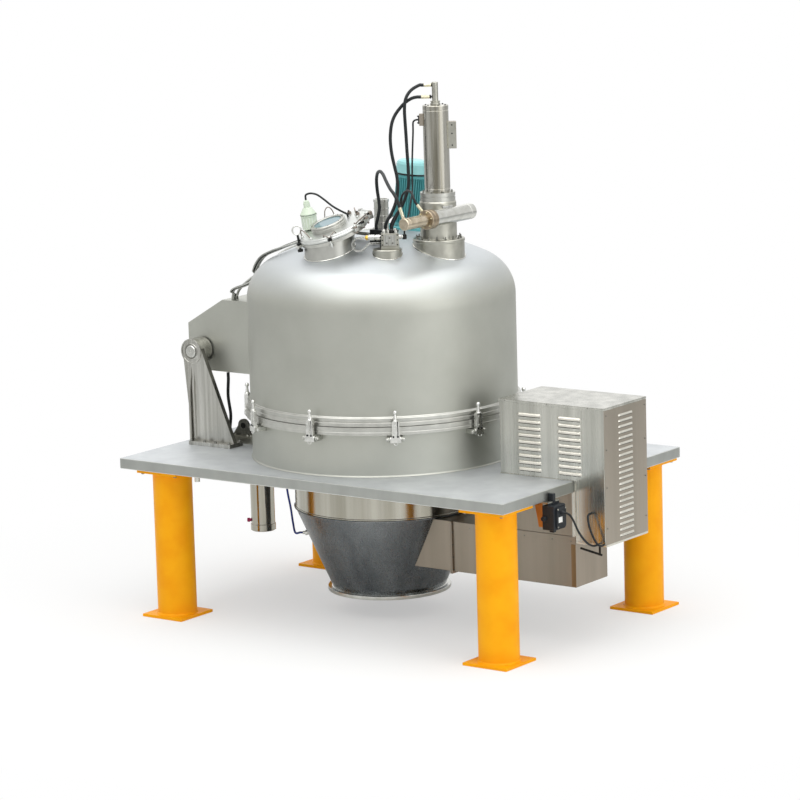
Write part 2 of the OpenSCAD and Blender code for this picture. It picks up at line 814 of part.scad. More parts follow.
module cover_motor() {
    color(teal) difference() {
        at_motor() {
            cylinder(d = motor_flange_d, h = motor_flange_t);
            translate([0, 0, motor_flange_t]) cylinder(d = motor_d, h = motor_l);
            translate([0, 0, motor_flange_t + motor_l]) cylinder(d = cowl_d, h = cowl_l);
            translate([-45, 60, 65]) cube([90, 72, 100]);
        }
        translate([spindle_x, 0, crown_z]) sphere(r = crown_r, $fn = 200);
    }
}

// Block on the crown where the hoses come together
saddle_low = [spindle_x + 105, -232];
saddle_high = [spindle_x + 260, -172];
saddle_top = apex_z + 46;

module saddle_block() {
    color(dark_steel) difference() {
        block([saddle_low[0], saddle_low[1], apex_z - 60], [saddle_high[0], saddle_high[1], saddle_top]);
        translate([spindle_x, 0, crown_z]) sphere(r = crown_r, $fn = 200);
    }
}

// Screwed fitting on the plate for the hose that runs up to the arm
fitting_x = pin_x + 149;
fitting_y = -188;
fitting_h = 56;

module plate_fitting() {
    color(steel) translate([fitting_x, fitting_y, plate_top]) {
        cylinder(d = 44, h = 18, $fn = 6);
        translate([0, 0, 18]) cylinder(d = 28, h = fitting_h - 18);
    }
}

// Cap on the lift cylinder's port
module port_cap() {
    color("#b41e5a") difference() {
        translate([lift_x, 0, lift_low + 60]) rotate([0, 90, port_turn + 180]) cylinder(d = 24, h = lift_d / 2 + 20);
        translate([lift_x, 0, lift_low - 10]) cylinder(d = lift_d, h = 200);
    }
}

// Short pipe under the plate beside the front column
module drain_stub() {
    color(steel) translate([column_x[0] + column_d / 2 + 104, -plate_w / 2 + 112, plate_low - 50]) pipe(30, 4, 50);
}

// A swing clamp at its pivot: yoke, bar, handle and ball tip
module swing_clamp() {
    color(steel) {
        difference() {
            union() {
                translate([-10, -ear_gap / 2 + 1, -17]) cube([26, ear_gap - 2, 34]);
                translate([-8, -clamp_w / 2, 16]) cube([24, clamp_w, 86]);
            }
            rotate([90, 0, 0]) cylinder(d = clamp_pin_d + 1, h = 200, center = true);
        }
        translate([4, 0, 102]) cylinder(d1 = 24, d2 = 12, h = clamp_l - 102 - 12);
        translate([4, 0, clamp_l - 12]) sphere(d = 24, $fn = 48);
    }
}

// Cords. The points of those on the cover are given from the top of the crown.
function on_crown(list) = [for (p = list) [spindle_x, 0, apex_z] + p];
saddle_point = [spindle_x, 0, saddle_top];
crown_edge = knuckle_x * crown_r / (crown_r - knuckle_r);

// A point over the cover's outer face, for a place given from the spindle axis
function over_cover(p, lift) = let (r = norm(p), out = concat(p / r, 0))
    r < crown_edge ? [spindle_x, 0, crown_z] + (crown_r + lift) * unit([p[0], p[1], sqrt(crown_r * crown_r - r * r)])
    : [spindle_x, 0, wall_z] + knuckle_x * out + (knuckle_r + lift)
        * unit((r - knuckle_x) * out + [0, 0, sqrt(knuckle_r * knuckle_r - pow(r - knuckle_x, 2))]);

module hose_ram_upper() {
    color("#282d30") tube(concat(lead(hose_end_high, -port_dir, 12), on_crown([
        [325, -101, 808], [308, -122, 780], [299, -134, 746], [295, -137, 699], [294, -134, 644],
        [291, -124, 560], [293, -122, 478], [296, -120, 396], [296, -118, 325], [290, -117, 270],
        [274, -127, 210], [254, -148, 154], [232, -174, 106]
    ]), tail(saddle_point + [218, -184, 0], [0, 0, 1], 12)), 18);
}

module hose_ram_lower() {
    color("#282d30") tube(concat(lead(hose_end_low, -port_dir, 12), on_crown([
        [316, -99, 757], [286, -117, 735], [260, -131, 705], [239, -148, 669], [228, -164, 627],
        [223, -173, 573], [221, -173, 519], [225, -168, 453], [235, -158, 381], [242, -150, 326],
        [243, -150, 261], [238, -160, 200], [224, -181, 141], [207, -201, 100]
    ]), tail(saddle_point + [198, -209, 0], [0, 0, 1], 12)), 18);
}

module hose_rotary_end() {
    color("#282d30") tube(concat(lead(hose_end_rotary, fitting_way(rotary_foot, hose_end_rotary), 12), on_crown([
        [482, -491, 268], [458, -482, 292], [423, -463, 312], [361, -414, 346], [299, -355, 371],
        [250, -315, 381], [205, -278, 364], [172, -244, 322], [154, -216, 264], [150, -200, 207],
        [150, -196, 160], [143, -201, 114]
    ]), tail(saddle_point + [132, -205, 0], [0, 0, 1], 12)), 18);
}

module hose_rotary_ring() {
    color("#282d30") tube(concat(lead(hose_end_ring, fitting_way(ring_foot, hose_end_ring), 8), on_crown([
        [453, -293, 243], [435, -281, 264], [392, -253, 275], [335, -218, 256], [300, -194, 225],
        [281, -180, 178], [264, -182, 134], [248, -195, 94]
    ]), tail(saddle_point + [240, -206, 0], [0, 0, 1], 8)), 13);
}

module hose_harness() {
    places = [
        [30, -196], [-110, -176], [-230, -196], [-320, -235], [-400, -290], [-450, -308], [-510, -300],
        [-600, -262], [-670, -228], [-712, -210]
    ];
    color("#282d30") tube(concat(
        lead([saddle_low[0], -200, apex_z + 4], [-1, 0, 0], 14),
        [for (p = places) over_cover(p, 22)],
        [
            [pin_x + 372, -204, arm_top + 108], [pin_x + 328, -200, arm_top + 90],
            [pin_x + 280, -196, arm_top + 74], [pin_x + 235, -194, arm_top + 59],
            [pin_x + 213, -193, arm_top + 42]
        ],
        tail([pin_x + 204, -192, arm_top], [0, 0, 1], 8)
    ), 36, 2, 10);
}

module cable_ram() {
    top = ram_top - 79;
    color("#282d30") tube(concat(lead([scraper_x, scraper_y, top] - 96 * port_dir, -port_dir, 4), on_crown([
        [329, -92, 638], [323, -96, 631], [321, -98, 620], [320, -98, 575], [317, -101, 504],
        [313, -103, 423], [311, -105, 325], [318, -116, 260], [327, -144, 209], [337, -180, 143],
        [348, -224, 92], [356, -250, 60]
    ]), [[sensor_x, sensor_y, sensor_port_z + 14] + sensor_right * port_dir]), 10);
}

module cable_motor() {
    places = [
        [-240, 250], [-330, 160], [-430, 60], [-520, 0], [-600, -40], [-650, -66], [-690, -84], [-712, -93]
    ];
    color("#a0a29c") tube(concat(
        [for (k = [0, 8, 16]) motor_point(box_port - [k, 0, 0])],
        [[spindle_x - 170, 294, apex_z + 16]],
        [for (p = places) over_cover(p, 12)],
        [
            [pin_x + 350, -112, arm_top + 160], [pin_x + 292, -134, arm_top + 117],
            [pin_x + 245, -143, arm_top + 79], [pin_x + 214, -145, arm_top + 47]
        ],
        tail([pin_x + 200, -144, arm_top], [0, 0, 1], 8)
    ), 16, 3);
}

module tube_sensor() {
    left = [sensor_x, sensor_y, sensor_port_z] + sensor_left * port_dir;
    color("#d2d2cc") tube(concat(lead(left, -port_dir, 6), [
        left + [-34, -26, -2], left + [-50, -38, -18],
        left + [-56, -42, -42], left + [-46, -35, -64], left + [-26, -22, -72], left + [-6, -10, -64],
        left + [8, 6, -44], left + [22, 16, -32]
    ], tail([sensor_x, sensor_y, sensor_port_z - 34] - 34 * port_dir + 14 * port_side, -port_dir, 6)), 12);
}

module cable_lamp() {
    tip = [lamp_x, lamp_y, lid_face];
    color("#282d30") tube(concat([
        rim_point(tip) + lamp_h * [
            sin(lamp_lean) * cos(manhole_turn), sin(lamp_lean) * sin(manhole_turn), cos(lamp_lean)]
    ], on_crown([
        [-207, -388, 236], [-191, -380, 246], [-168, -370, 246], [-140, -365, 238], [-106, -354, 214],
        [-70, -330, 178], [-44, -299, 152]
    ]), [for (k = [14, 7, 0]) rim_point([-118, -25, lid_face + k])]), 11);
}

// A point given from the rim's middle, in the machine's frame
function rim_point(p) =
    let (x = p[0] * cos(manhole_lean) + p[2] * sin(manhole_lean))
    [manhole_x - lid_shift * cos(manhole_turn), manhole_y - lid_shift * sin(manhole_turn), lid_z] + [
        x * cos(manhole_turn) - p[1] * sin(manhole_turn),
        x * sin(manhole_turn) + p[1] * cos(manhole_turn),
        p[2] * cos(manhole_lean) - p[0] * sin(manhole_lean)
    ];

module hose_arm() {
    low = [fitting_x, fitting_y, plate_top + fitting_h];
    high = [fitting_x, fitting_y, arm_low - 8];
    color("#282d30") tube(concat(lead(low, [0, 0, 1], 15), [
        0.7 * low + 0.3 * high + [8, 0, 0], 0.4 * low + 0.6 * high + [-6, 0, 0]
    ], tail(high, [0, 0, -1], 20)), 18, 3);
}

module hose_drain() {
    end = [spindle_x, 0, 0] + drain_end;
    color("#192d78") tube([
        [pin_x + 555, -206, plate_low], [pin_x + 556, -206, 760], [pin_x + 560, -204, 660],
        [pin_x + 582, -206, 560], [pin_x + 606, -220, 478], end + 44 * drain_dir - [0, 0, 1],
        end + 16 * drain_dir, end + 0.3 * drain_dir
    ], 12, 4);
}

module cable_switch() {
    color("#282d30") tube(concat(lead([switch_x + switch_l + 16, switch_y, plate_low - 60], [1, 0, 0], 7), [
        [drive_end + 122, -429, guard_low + 209], [drive_end + 131, -408, guard_low + 173],
        [drive_end + 132, -362, guard_low + 104], [drive_end + 138, -302, guard_low + 41],
        [drive_end + 146, -254, guard_low + 14]
    ], tail([drive_end + 152, -guard_w / 2, guard_low + 12], [0, -1, 0], 8)), 12, 4);
}

module cable_guard() {
    y = -guard_w / 2;
    color("#282d30") tube(concat(lead([drive_end + 108, y, guard_low + 176], [0, -1, 0], 8), [
        [drive_end + 112, y - 34, guard_low + 164], [drive_end + 124, y - 44, guard_low + 124],
        [drive_end + 142, y - 44, guard_low + 76], [drive_end + 162, y - 40, guard_low + 36],
        [drive_end + 176, y - 31, guard_low + 17]
    ], tail([drive_end + 184, y, guard_low + 12], [0, -1, 0], 8)), 12, 4);
}

module clamp_1() { at_clamp(1) swing_clamp(); }
module clamp_2() { at_clamp(2) swing_clamp(); }
module clamp_3() { at_clamp(3) swing_clamp(); }
module clamp_4() { at_clamp(4) swing_clamp(); }
module clamp_5() { at_clamp(5) swing_clamp(); }
module clamp_6() { at_clamp(6) swing_clamp(); }
module clamp_7() { at_clamp(7) swing_clamp(); }
module clamp_8() { at_clamp(8) swing_clamp(); }
module clamp_9() { at_clamp(9) swing_clamp(); }
module clamp_10() { at_clamp(10) swing_clamp(); }

deck_plate();
column_front_hinge();
column_front_drive();
column_back_hinge();
column_back_drive();
lower_casing();
outlet_skirt();
outlet_cone();
bearing_housing();
basket();
belt_guard();
motor_guard();
hinge_bracket_front();
hinge_bracket_back();
hinge_pin();
lift_cylinder();
pivot_lug();
vibration_switch();
cover_shell();
cover_ring();
cover_arm();
manhole_neck();
manhole_lid();
sight_glass();
sight_lamp();
vent_nozzle();
sensor_stand();
scraper_base();
scraper_cylinder();
position_switch();
rotary_cylinder();
cover_motor();
clamp_1();
clamp_2();
clamp_3();
clamp_4();
clamp_5();
clamp_6();
clamp_7();
clamp_8();
clamp_9();
clamp_10();
saddle_block();
plate_fitting();
port_cap();
drain_stub();
hose_ram_upper();
hose_ram_lower();
hose_rotary_end();
hose_rotary_ring();
hose_harness();
cable_ram();
cable_motor();
tube_sensor();
cable_lamp();
hose_arm();
hose_drain();
cable_switch();
cable_guard();
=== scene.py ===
# %% [markdown]
# A flat-plate scraper centrifuge, rebuilt from its construction model. The construction model
# says where everything is. This script gives each part its real shape and finish.
# %% The frame and Blender's modules
from math import asin, cos, hypot, pi, radians, sin, sqrt, tau

import bmesh
import bpy
from mathutils import Matrix, Vector


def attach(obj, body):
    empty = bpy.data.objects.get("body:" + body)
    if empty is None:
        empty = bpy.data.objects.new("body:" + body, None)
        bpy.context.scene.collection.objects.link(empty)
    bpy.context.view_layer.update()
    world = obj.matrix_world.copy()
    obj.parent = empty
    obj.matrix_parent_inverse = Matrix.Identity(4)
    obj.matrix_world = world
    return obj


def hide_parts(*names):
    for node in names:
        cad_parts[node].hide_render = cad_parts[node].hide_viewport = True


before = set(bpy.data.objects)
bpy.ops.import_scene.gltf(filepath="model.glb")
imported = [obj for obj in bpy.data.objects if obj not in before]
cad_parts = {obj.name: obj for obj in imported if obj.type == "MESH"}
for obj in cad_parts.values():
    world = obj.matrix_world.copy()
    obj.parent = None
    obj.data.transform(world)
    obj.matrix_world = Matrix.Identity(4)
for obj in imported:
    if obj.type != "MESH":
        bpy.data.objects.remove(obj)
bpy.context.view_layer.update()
print("construction model:", len(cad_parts), "nodes")

# %% [markdown]
# Drawings of machines are in millimetres, and Blender works in metres. All shapes here are
# modelled in millimetres, in the machine's own frame, and are scaled once when a piece is made.
# X runs along the deck plate, Y to the back and Z up. A few values place most of the parts.
# %% Main sizes in millimetres
MM = 0.001
UP = Vector((0, 0, 1))
SPINDLE, LIFT = (-190, 0), (-1084, 0)
MANHOLE, VENT, FITTING = (-244, -386), (-180, 10), (-1151, -188)
HINGE_X, HINGE_Z = -1300, 1430
DECK_LOW, DECK_TOP = 840, 900
BELT_LOW, BELT_TOP = 320, 600
WALL_TOP, CROWN_CENTRE, APEX = 1780, 736.18, 2136.18
COVER_R, KNUCKLE_R, CROWN_R = 746, 240, 1400
KNUCKLE_X = COVER_R - KNUCKLE_R
TURN = 36
LEFT = Vector((-cos(radians(TURN)), -sin(radians(TURN)), 0))
SIDE = Vector((-sin(radians(TURN)), cos(radians(TURN)), 0))
print("crown above the floor:", APEX, "mm")

# %% [markdown]
# The photograph was taken with a long lens from the machine's front right corner, a little
# above its cover. The camera is built from three angles: where it looks along the floor, how far
# it looks down, and a small roll.
# %% Camera
def placed(name, data):
    """A new object in the scene."""
    made = bpy.data.objects.new(name, data)
    bpy.context.scene.collection.objects.link(made)
    return made


YAW, PITCH, ROLL = (radians(a) for a in (-36.339251, -10.270075, -1.643198))
FOCUS_PX, PHOTO_PX, FILM_MM = 3565.675915, 800, 36
ahead = Vector((sin(YAW) * cos(PITCH), cos(YAW) * cos(PITCH), sin(PITCH)))
level = Vector((cos(YAW), -sin(YAW), 0))
over = level.cross(ahead)
right = level * cos(ROLL) + over * sin(ROLL)
upward = over * cos(ROLL) - level * sin(ROLL)
lens = bpy.data.cameras.new("camera")
lens.sensor_width, lens.lens = FILM_MM, FOCUS_PX / PHOTO_PX * FILM_MM
lens.clip_start, lens.clip_end = 0.1, 200
camera = placed("camera", lens)
camera.matrix_world = Matrix((right, upward, -ahead)).transposed().to_4x4()
camera.location = Vector((11476.459, -15711.913, 4732.601)) * MM
bpy.context.scene.camera = camera
bpy.context.scene.view_settings.view_transform = "Standard"
print("lens", round(lens.lens, 1), "mm")

# %% [markdown]
# A material is a small graph. One helper adds a node with its settings and its links, and
# another turns a colour written as on a web page into the linear values that Blender mixes.
# %% Helpers for materials
def linear(code):
    """A colour such as 'c8c8c0' as linear red, green, blue and alpha."""
    parts = [int(code[i:i + 2], 16) / 255 for i in (0, 2, 4)]
    return [c / 12.92 if c < 0.04045 else ((c + 0.055) / 1.055) ** 2.4 for c in parts] + [1]


def add(tree, kind, inputs={}, **settings):
    """Adds a node. An input is a value, or a (node, output) pair to link from."""
    made = tree.nodes.new("ShaderNode" + kind)
    for key, value in settings.items():
        setattr(made, key, value)
    for key, value in inputs.items():
        if isinstance(value, tuple) and isinstance(value[0], bpy.types.Node):
            tree.links.new(value[0].outputs[value[1]], made.inputs[key])
        else:
            made.inputs[key].default_value = value
    return made


def bare(name):
    """A new material with only its output node."""
    made = bpy.data.materials.new(name)
    made.use_nodes = True
    made.node_tree.nodes.clear()
    return made, made.node_tree, made.node_tree.nodes.new("ShaderNodeOutputMaterial")

# %% [markdown]
# Sheet and plate of this machine are all steel, but each is worked in its own way. A blasted
# shell is matt and even, a rolled sheet has long fine lines, and a turned part is bright. The
# same graph serves all: slow clouds in the colour, a stretched grain in roughness and bump.
# %% Worked metal
LIT_CROWN_FROM, LIT_CROWN_ABOVE = 1.84, 2.02
RELIEF = 0.0006


def metal(name, colour, worn, rough, grain_mm, stretch=(1, 1, 1), depth=0.1, cloud_mm=200,
          crown=None):
    """A metal surface. Sizes are in millimetres and stretch draws the pattern out along an axis.
    crown is a lighter colour high up, from 1.84 m to 2.02 m, a painted highlight of the sky's light
    on a cover's crown."""
    made, tree, out = bare(name)
    where = add(tree, "TexCoord")
    long = add(tree, "Mapping", {"Vector": (where, "Object"), "Scale": stretch})
    clouds = add(tree, "TexNoise", {"Vector": (long, "Vector"), "Scale": 1000 / cloud_mm,
                                    "Detail": 3.0})
    shade = add(tree, "ValToRGB", {"Fac": (clouds, "Fac")})
    low, high = shade.color_ramp.elements
    low.position, high.position = 0.3, 0.7
    low.color, high.color = linear(worn), linear(colour)
    grain = add(tree, "TexNoise", {"Vector": (long, "Vector"), "Scale": 1000 / grain_mm,
                                   "Detail": 2.0, "Roughness": 0.6})
    sheen = add(tree, "MapRange", {"Value": (grain, "Fac"), "From Min": 0.3, "From Max": 0.7,
                                   "To Min": rough - 0.05, "To Max": rough + 0.05})
    bump = add(tree, "Bump", {"Height": (grain, "Fac"), "Strength": depth, "Distance": RELIEF})
    colour_from = (shade, "Color")
    # Above 1.84 m the colour fades to the lighter crown colour: a painted highlight of the sky on
    # the crown.
    if crown:
        height = add(tree, "SeparateXYZ", {"Vector": (where, "Object")})
        top = add(tree, "MapRange", {"Value": (height, "Z"), "From Min": LIT_CROWN_FROM,
                                     "From Max": LIT_CROWN_ABOVE})
        both = add(tree, "MixRGB", {"Fac": (top, "Result"), "Color1": (shade, "Color"),
                                    "Color2": linear(crown)})
        colour_from = (both, "Color")
    skin = add(tree, "BsdfPrincipled", {
        "Base Color": colour_from, "Metallic": 1.0, "Roughness": (sheen, "Result"),
        "Normal": (bump, "Normal")})
    tree.links.new(skin.outputs[0], out.inputs[0])
    return made


print("a metal's grain is", round(RELIEF / MM, 1), "mm deep at full strength")

# %% [markdown]
# The same steel looks quite different by the way it was worked and by where it sits. A name
# says how each was worked. Several are lighter or darker copies that stand for light: their
# comments name the painted highlight, shade and reflection.
# %% Steels, bronze and brass
# Shell blasted with glass beads: even, silky and a little warm.
blasted_shell = metal("glass_blasted_stainless", "b4b5ad", "aeafa7", 0.48, 3.0)
# The cover: the same, with a lighter, cooler crown: a painted highlight where the crown takes the
# sky's light.
blasted_cover = metal("glass_blasted_cover_painted_crown_light", "b1b2aa", "abaca4", 0.49, 3.0, crown="bfc3c5")
# Plate: the same steel, blasted brighter.
blasted_plate = metal("blasted_deck_plate", "cccfd0", "bfc2c4", 0.58, 4.0, depth=0.12, cloud_mm=120)
# Its edge, flame cut and ground: darker, with upright marks.
ground_edge = metal("ground_plate_edge", "a9aba7", "9fa19d", 0.42, 3.0, (1, 1, 0.2), 0.12, 90)
# Rolled sheet with its lines upright: it mirrors its surroundings in long smears.
rolled_sheet = metal("rolled_stainless_sheet", "cdccc4", "a6a69e", 0.25, 11.0, (1, 1, 0.02),
                     0.09, 70)
# Pressed hoods and hems: the same steel, lighter, a painted highlight where it is bent toward the
# light.
pressed_sheet_painted_highlight = metal("louver_sheet_painted_highlight", "dcd9cf", "cbc8bd", 0.3, 4, depth=0.08, cloud_mm=90)
# Sheet turned away from the light: a warmer, duller copy of the rolled sheet, painted shade. The
# position switch housings use it too.
side_sheet = metal("rolled_side_sheet", "a69d91", "979084", 0.35, 6.0, (1, 1, 0.03), 0.08, 140)
# The belt guard's sheet: the same, darker still, as painted shade low under the deck.
belt_sheet = metal("belt_guard_sheet_painted_shade", "968c7f", "857d70", 0.36, 6.0, (1, 1, 0.03),
                   0.08, 140)
# Its corner angle, brown: a painted reflection of the yellow column beside it.
painted_column_reflection = metal("corner_angle_painted_column_reflection", "8b7458", "786449", 0.40, 5.0, (1, 1, 0.05), 0.08, 60)
# Skirt and the lift cylinder's barrel: rolled bright, so they mirror the columns beside them.
mirror_sheet = metal("bright_rolled_sheet", "b0ada3", "928f83", 0.15, 7.0, (1, 1, 0.03), 0.07, 60)
# Hinge plates, dressed upright with a belt.
dressed_plate = metal("belt_dressed_plate", "c6c5bf", "a09f98", 0.30, 4.0, (1, 1, 0.03), 0.10, 26)
# The plates' sides that face +X, darker than their faces: painted shade. The bush and the thin ring
# round the pin's end use it too.
shaded_edge = metal("plate_sides_painted_shade_and_dark_rings", "83827c", "6a6964", 0.34, 3.0, (1, 1, 0.05), 0.12, 24)
# Cone sheet in dark grey: a painted reflection of the dark ground it faces.
cone_sheet_painted_reflection = metal("drawn_cone_sheet", "85898b", "63676a", 0.27, 5.0, (1, 1, 0.12), 0.05, 150)
# Small castings tumbled bright, the lightest metal here.
bright_casting = metal("tumbled_bright_casting", "dededa", "c2c2bd", 0.26, 2.5, cloud_mm=30)
# Machined rims and rings: a satin face that takes the sky evenly.
satin_rim = metal("satin_turned_rim", "c2c2bc", "b2b2ac", 0.36, 2.0, cloud_mm=60)
# The lid's upper face, brighter. On the deck's broken edge it is a painted highlight.
bright_rim = metal("satin_turned_lid", "d4d6d3", "c6c8c4", 0.36, 2.0, cloud_mm=60)
# Bent wire and its nuts, dulled by handling.
wire_steel = metal("dull_wire_steel", "9a9088", "7d746c", 0.34, 1.5, cloud_mm=25)
# Turned and ground parts: they mirror sharply, in thin lines.
ground_rod = metal("ground_bar", "cfcfca", "bdbdb6", 0.22, 1.2, depth=0.06, cloud_mm=40)
# Drawn barrel of the ram: draw lines run along it, light and dark by turns.
drawn_barrel = metal("drawn_barrel_tube", "d0cec6", "868274", 0.25, 4.0, (1, 1, 0.02), 0.08, 30)
# Machined flanges and blocks: duller, with a warm cast.
milled_block = metal("milled_block", "bab9af", "a3a298", 0.34, 2.0, depth=0.14, cloud_mm=60)
# Bolts and nuts of plain steel, darker in their corners.
plain_bolt = metal("plain_bolt_steel", "8f8f89", "6b6b66", 0.32, 1.5, depth=0.12, cloud_mm=20)
# Dark oxide on elbows and screws: nearly black, with a soft shine.
dark_oxide = metal("dark_oxide_steel", "3c3d3c", "272827", 0.36, 1.5, depth=0.12, cloud_mm=20)
# Zinc with its yellow passivation: a pale, warm glint on each hose end.
yellow_zinc = metal("yellow_zinc_plate", "ddd8c2", "cac3a2", 0.30, 1.5, depth=0.08, cloud_mm=20)
# Bronze of the clamp ring, brown against the bright barrel.
warm_bronze = metal("warm_bronze", "a69883", "877967", 0.32, 2.0, depth=0.12, cloud_mm=30)
# Front of the rotary cylinder, gold in the light.
rotary_skin = metal("polished_gold_toned_bar", "cbbfaa", "ab9f89", 0.26, 1.5, depth=0.08,
                    cloud_mm=35)
# Brass nut of the sensor's port: the one yellow metal.
lathe_brass = metal("turned_brass", "dcb65a", "bf9843", 0.24, 1.2, depth=0.06, cloud_mm=20)
# Wound strip of the metal hose: satin, like the rims.
conduit_steel = metal("spiral_conduit_steel", "b4b5b0", "9a9b96", 0.36, 1.5, cloud_mm=40)
print("metal finishes:", len(bpy.data.materials))

# %% [markdown]
# Paint, rubber and plastic are not metals. They keep their own colour under any light and only
# their thin top layer shines. Paint gets a faint orange peel, rubber fine pores.
# %% Paint, rubber and plastic
COAT_RELIEF = 0.0008


def coated(name, colour, worn, rough, peel_mm, depth=0.1, coat=0.0, shine=0.5):
    """A dielectric surface with a slow change of colour and a fine relief."""
    made, tree, out = bare(name)
    where = add(tree, "TexCoord")
    clouds = add(tree, "TexNoise", {"Vector": (where, "Object"), "Scale": 7.0, "Detail": 4.0})
    shade = add(tree, "ValToRGB", {"Fac": (clouds, "Fac")})
    low, high = shade.color_ramp.elements
    low.position, high.position = 0.3, 0.65
    low.color, high.color = linear(worn), linear(colour)
    peel = add(tree, "TexNoise", {"Vector": (where, "Object"), "Scale": 1000 / peel_mm,
                                  "Detail": 2.0})
    sheen = add(tree, "MapRange", {"Value": (clouds, "Fac"), "From Min": 0.3, "From Max": 0.7,
                                   "To Min": rough + 0.04, "To Max": rough - 0.03})
    bump = add(tree, "Bump", {"Height": (peel, "Fac"), "Strength": depth, "Distance": COAT_RELIEF})
    skin = add(tree, "BsdfPrincipled", {
        "Base Color": (shade, "Color"), "Roughness": (sheen, "Result"), "Normal": (bump, "Normal"),
        "IOR": 1.5, "Coat Weight": coat, "Coat Roughness": 0.12, "Specular IOR Level": shine})
    tree.links.new(skin.outputs[0], out.inputs[0])
    return made


# Column paint: strong yellow with little shine, so it stays yellow in the shade.
column_enamel = coated("yellow_column_enamel", "fdb010", "f7a208", 0.44, 9.0, shine=0.12)
# The same paint on the switch's bracket, darkened: painted shade under the deck.
bracket_enamel = coated("shaded_bracket_enamel", "c07a34", "a0602c", 0.50, 6.0, shine=0.12)
# The motor's teal paint and its paler, glossier cowl.
motor_enamel = coated("teal_motor_enamel", "58a7aa", "469498", 0.42, 5.0)
cowl_enamel = coated("pale_cowl_enamel", "96d0d0", "88c6c7", 0.34, 5.0, 0.08, coat=0.2)
# Hose rubber and moulded plastic: near black, with a soft line of light.
hose_rubber = coated("smooth_hose_rubber", "1a1f20", "121617", 0.42, 2.0, 0.12, shine=0.35)
black_plastic = coated("moulded_black_plastic", "20252a", "171b20", 0.42, 2.0, shine=0.35)
# The lamp's enamelled cap and its frosted bowl.
lamp_glaze = coated("pale_lamp_enamel", "dbe6d3", "d0ddc7", 0.36, 4.0, 0.06, coat=0.2)
lamp_glass = coated("frosted_lamp_glass", "eef3ec", "dfe8dd", 0.30, 4.0, 0.04, coat=0.3)
# Small spots of strong colour: the air tube and the port's cap.
blue_tube = coated("blue_air_tube", "1c3286", "182a74", 0.30, 3.0, 0.04)
magenta_cap = coated("magenta_port_cap", "b8205f", "a81a54", 0.36, 3.0, 0.06)
# The bare plate on the switch, the whitest spot low down.
bare_plate = coated("bare_white_plate", "f1f1ee", "e9e9e5", 0.40, 3.0, 0.03)
print("finishes in all:", len(bpy.data.materials))

# %% [markdown]
# Clear plastic and glass let light through. The tube is thin and slightly milky. The sight glass
# is thick and dark and lets little through; its blue-grey colour is a painted reflection of the sky
# it mirrors in daylight.
# %% Glass and clear tube
def see_through(name, colour, rough, through, ripple):
    """A clear or milky surface. through is the share of the light that passes."""
    made, tree, out = bare(name)
    where = add(tree, "TexCoord")
    waves = add(tree, "TexNoise", {"Vector": (where, "Object"), "Scale": 60.0, "Detail": 1.0})
    bump = add(tree, "Bump", {"Height": (waves, "Fac"), "Strength": ripple,
                              "Distance": COAT_RELIEF})
    skin = add(tree, "BsdfPrincipled", {
        "Base Color": linear(colour), "Roughness": rough, "IOR": 1.46,
        "Transmission Weight": through, "Normal": (bump, "Normal")})
    tree.links.new(skin.outputs[0], out.inputs[0])
    return made


# Thin milky tube: the light behind it shows through.
clear_tube = see_through("clear_milky_tube", "dcdcd6", 0.14, 0.75, 0.05)
# Thick pane: smooth, blue-grey as a painted reflection of the sky.
sight_pane = see_through("thick_sight_glass", "6f8f98", 0.05, 0.15, 0.02)
print("with glass:", len(bpy.data.materials))

# %% [markdown]
# A place is a matrix: where a shape's own origin goes and how it turns. A drawing gives most
# places as a point with a lean and a turn, or as a way that something points. Bolt circles and
# round ends of plates are points on an arc, so one helper gives them all.
# %% Places and outlines
def about(axis, degrees):
    """A turn about an axis."""
    return Matrix.Rotation(radians(degrees), 4, axis)


def stand(x, y, z=0, lean=0, turn=0):
    """A place whose Z leans and then turns, in degrees, as in the construction model."""
    return Matrix.Translation((x, y, z)) @ about("Z", turn) @ about("Y", lean)


def aim(foot, way):
    """A place at a foot whose Z points along a way."""
    return Matrix.Translation(foot) @ Vector(way).to_track_quat("Z", "Y").to_matrix().to_4x4()


def arc(x, y, r, angles):
    """Points of an outline on an arc."""
    return [(x + r * cos(radians(a)), y + r * sin(radians(a))) for a in angles]


def circle(count, r, z=0, first=0):
    """Places evenly round a circle, from a first angle in degrees."""
    return [Vector((*p, z)) for p in arc(0, 0, r, [360 / count * k + first for k in range(count)])]


def disc(r, low, high):
    """The profile of a solid disc."""
    return [(0, low), (r, low), (r, high), (0, high)]


def pipe(inner, outer, low, high):
    """The closed profile of a pipe."""
    return [(inner, low), (outer, low), (outer, high), (inner, high), (inner, low)]


AXIS = stand(*SPINDLE)
ON_SIDE = about("X", 90)
ACROSS = about("Z", 90) @ ON_SIDE
print("spindle at", SPINDLE, "mm")

# %% [markdown]
# Pieces are made of simple worked shapes: turned, sawn from plate, drilled and bent. Each helper
# makes one shape in its own small mesh, eases its corners, closes it, turns its faces outward
# and adds it to the piece. Round parts come first: a profile is spun about Z, as on a lathe.
# %% Lathe work
def as_mesh(name, shape):
    """Makes a mesh of a shape and frees the shape."""
    mesh = bpy.data.meshes.new(name)
    shape.to_mesh(mesh)
    shape.free()
    return mesh


def join(piece, shape, where, finish):
    """Adds a finished shape to a piece at a place, with one of the piece's finishes."""
    bmesh.ops.remove_doubles(shape, verts=shape.verts, dist=0.01)
    shape.transform(where)
    bmesh.ops.recalc_face_normals(shape, faces=shape.faces)
    for face in shape.faces:
        face.material_index = finish
    carrier = as_mesh("shape", shape)
    piece.from_mesh(carrier)
    bpy.data.meshes.remove(carrier)


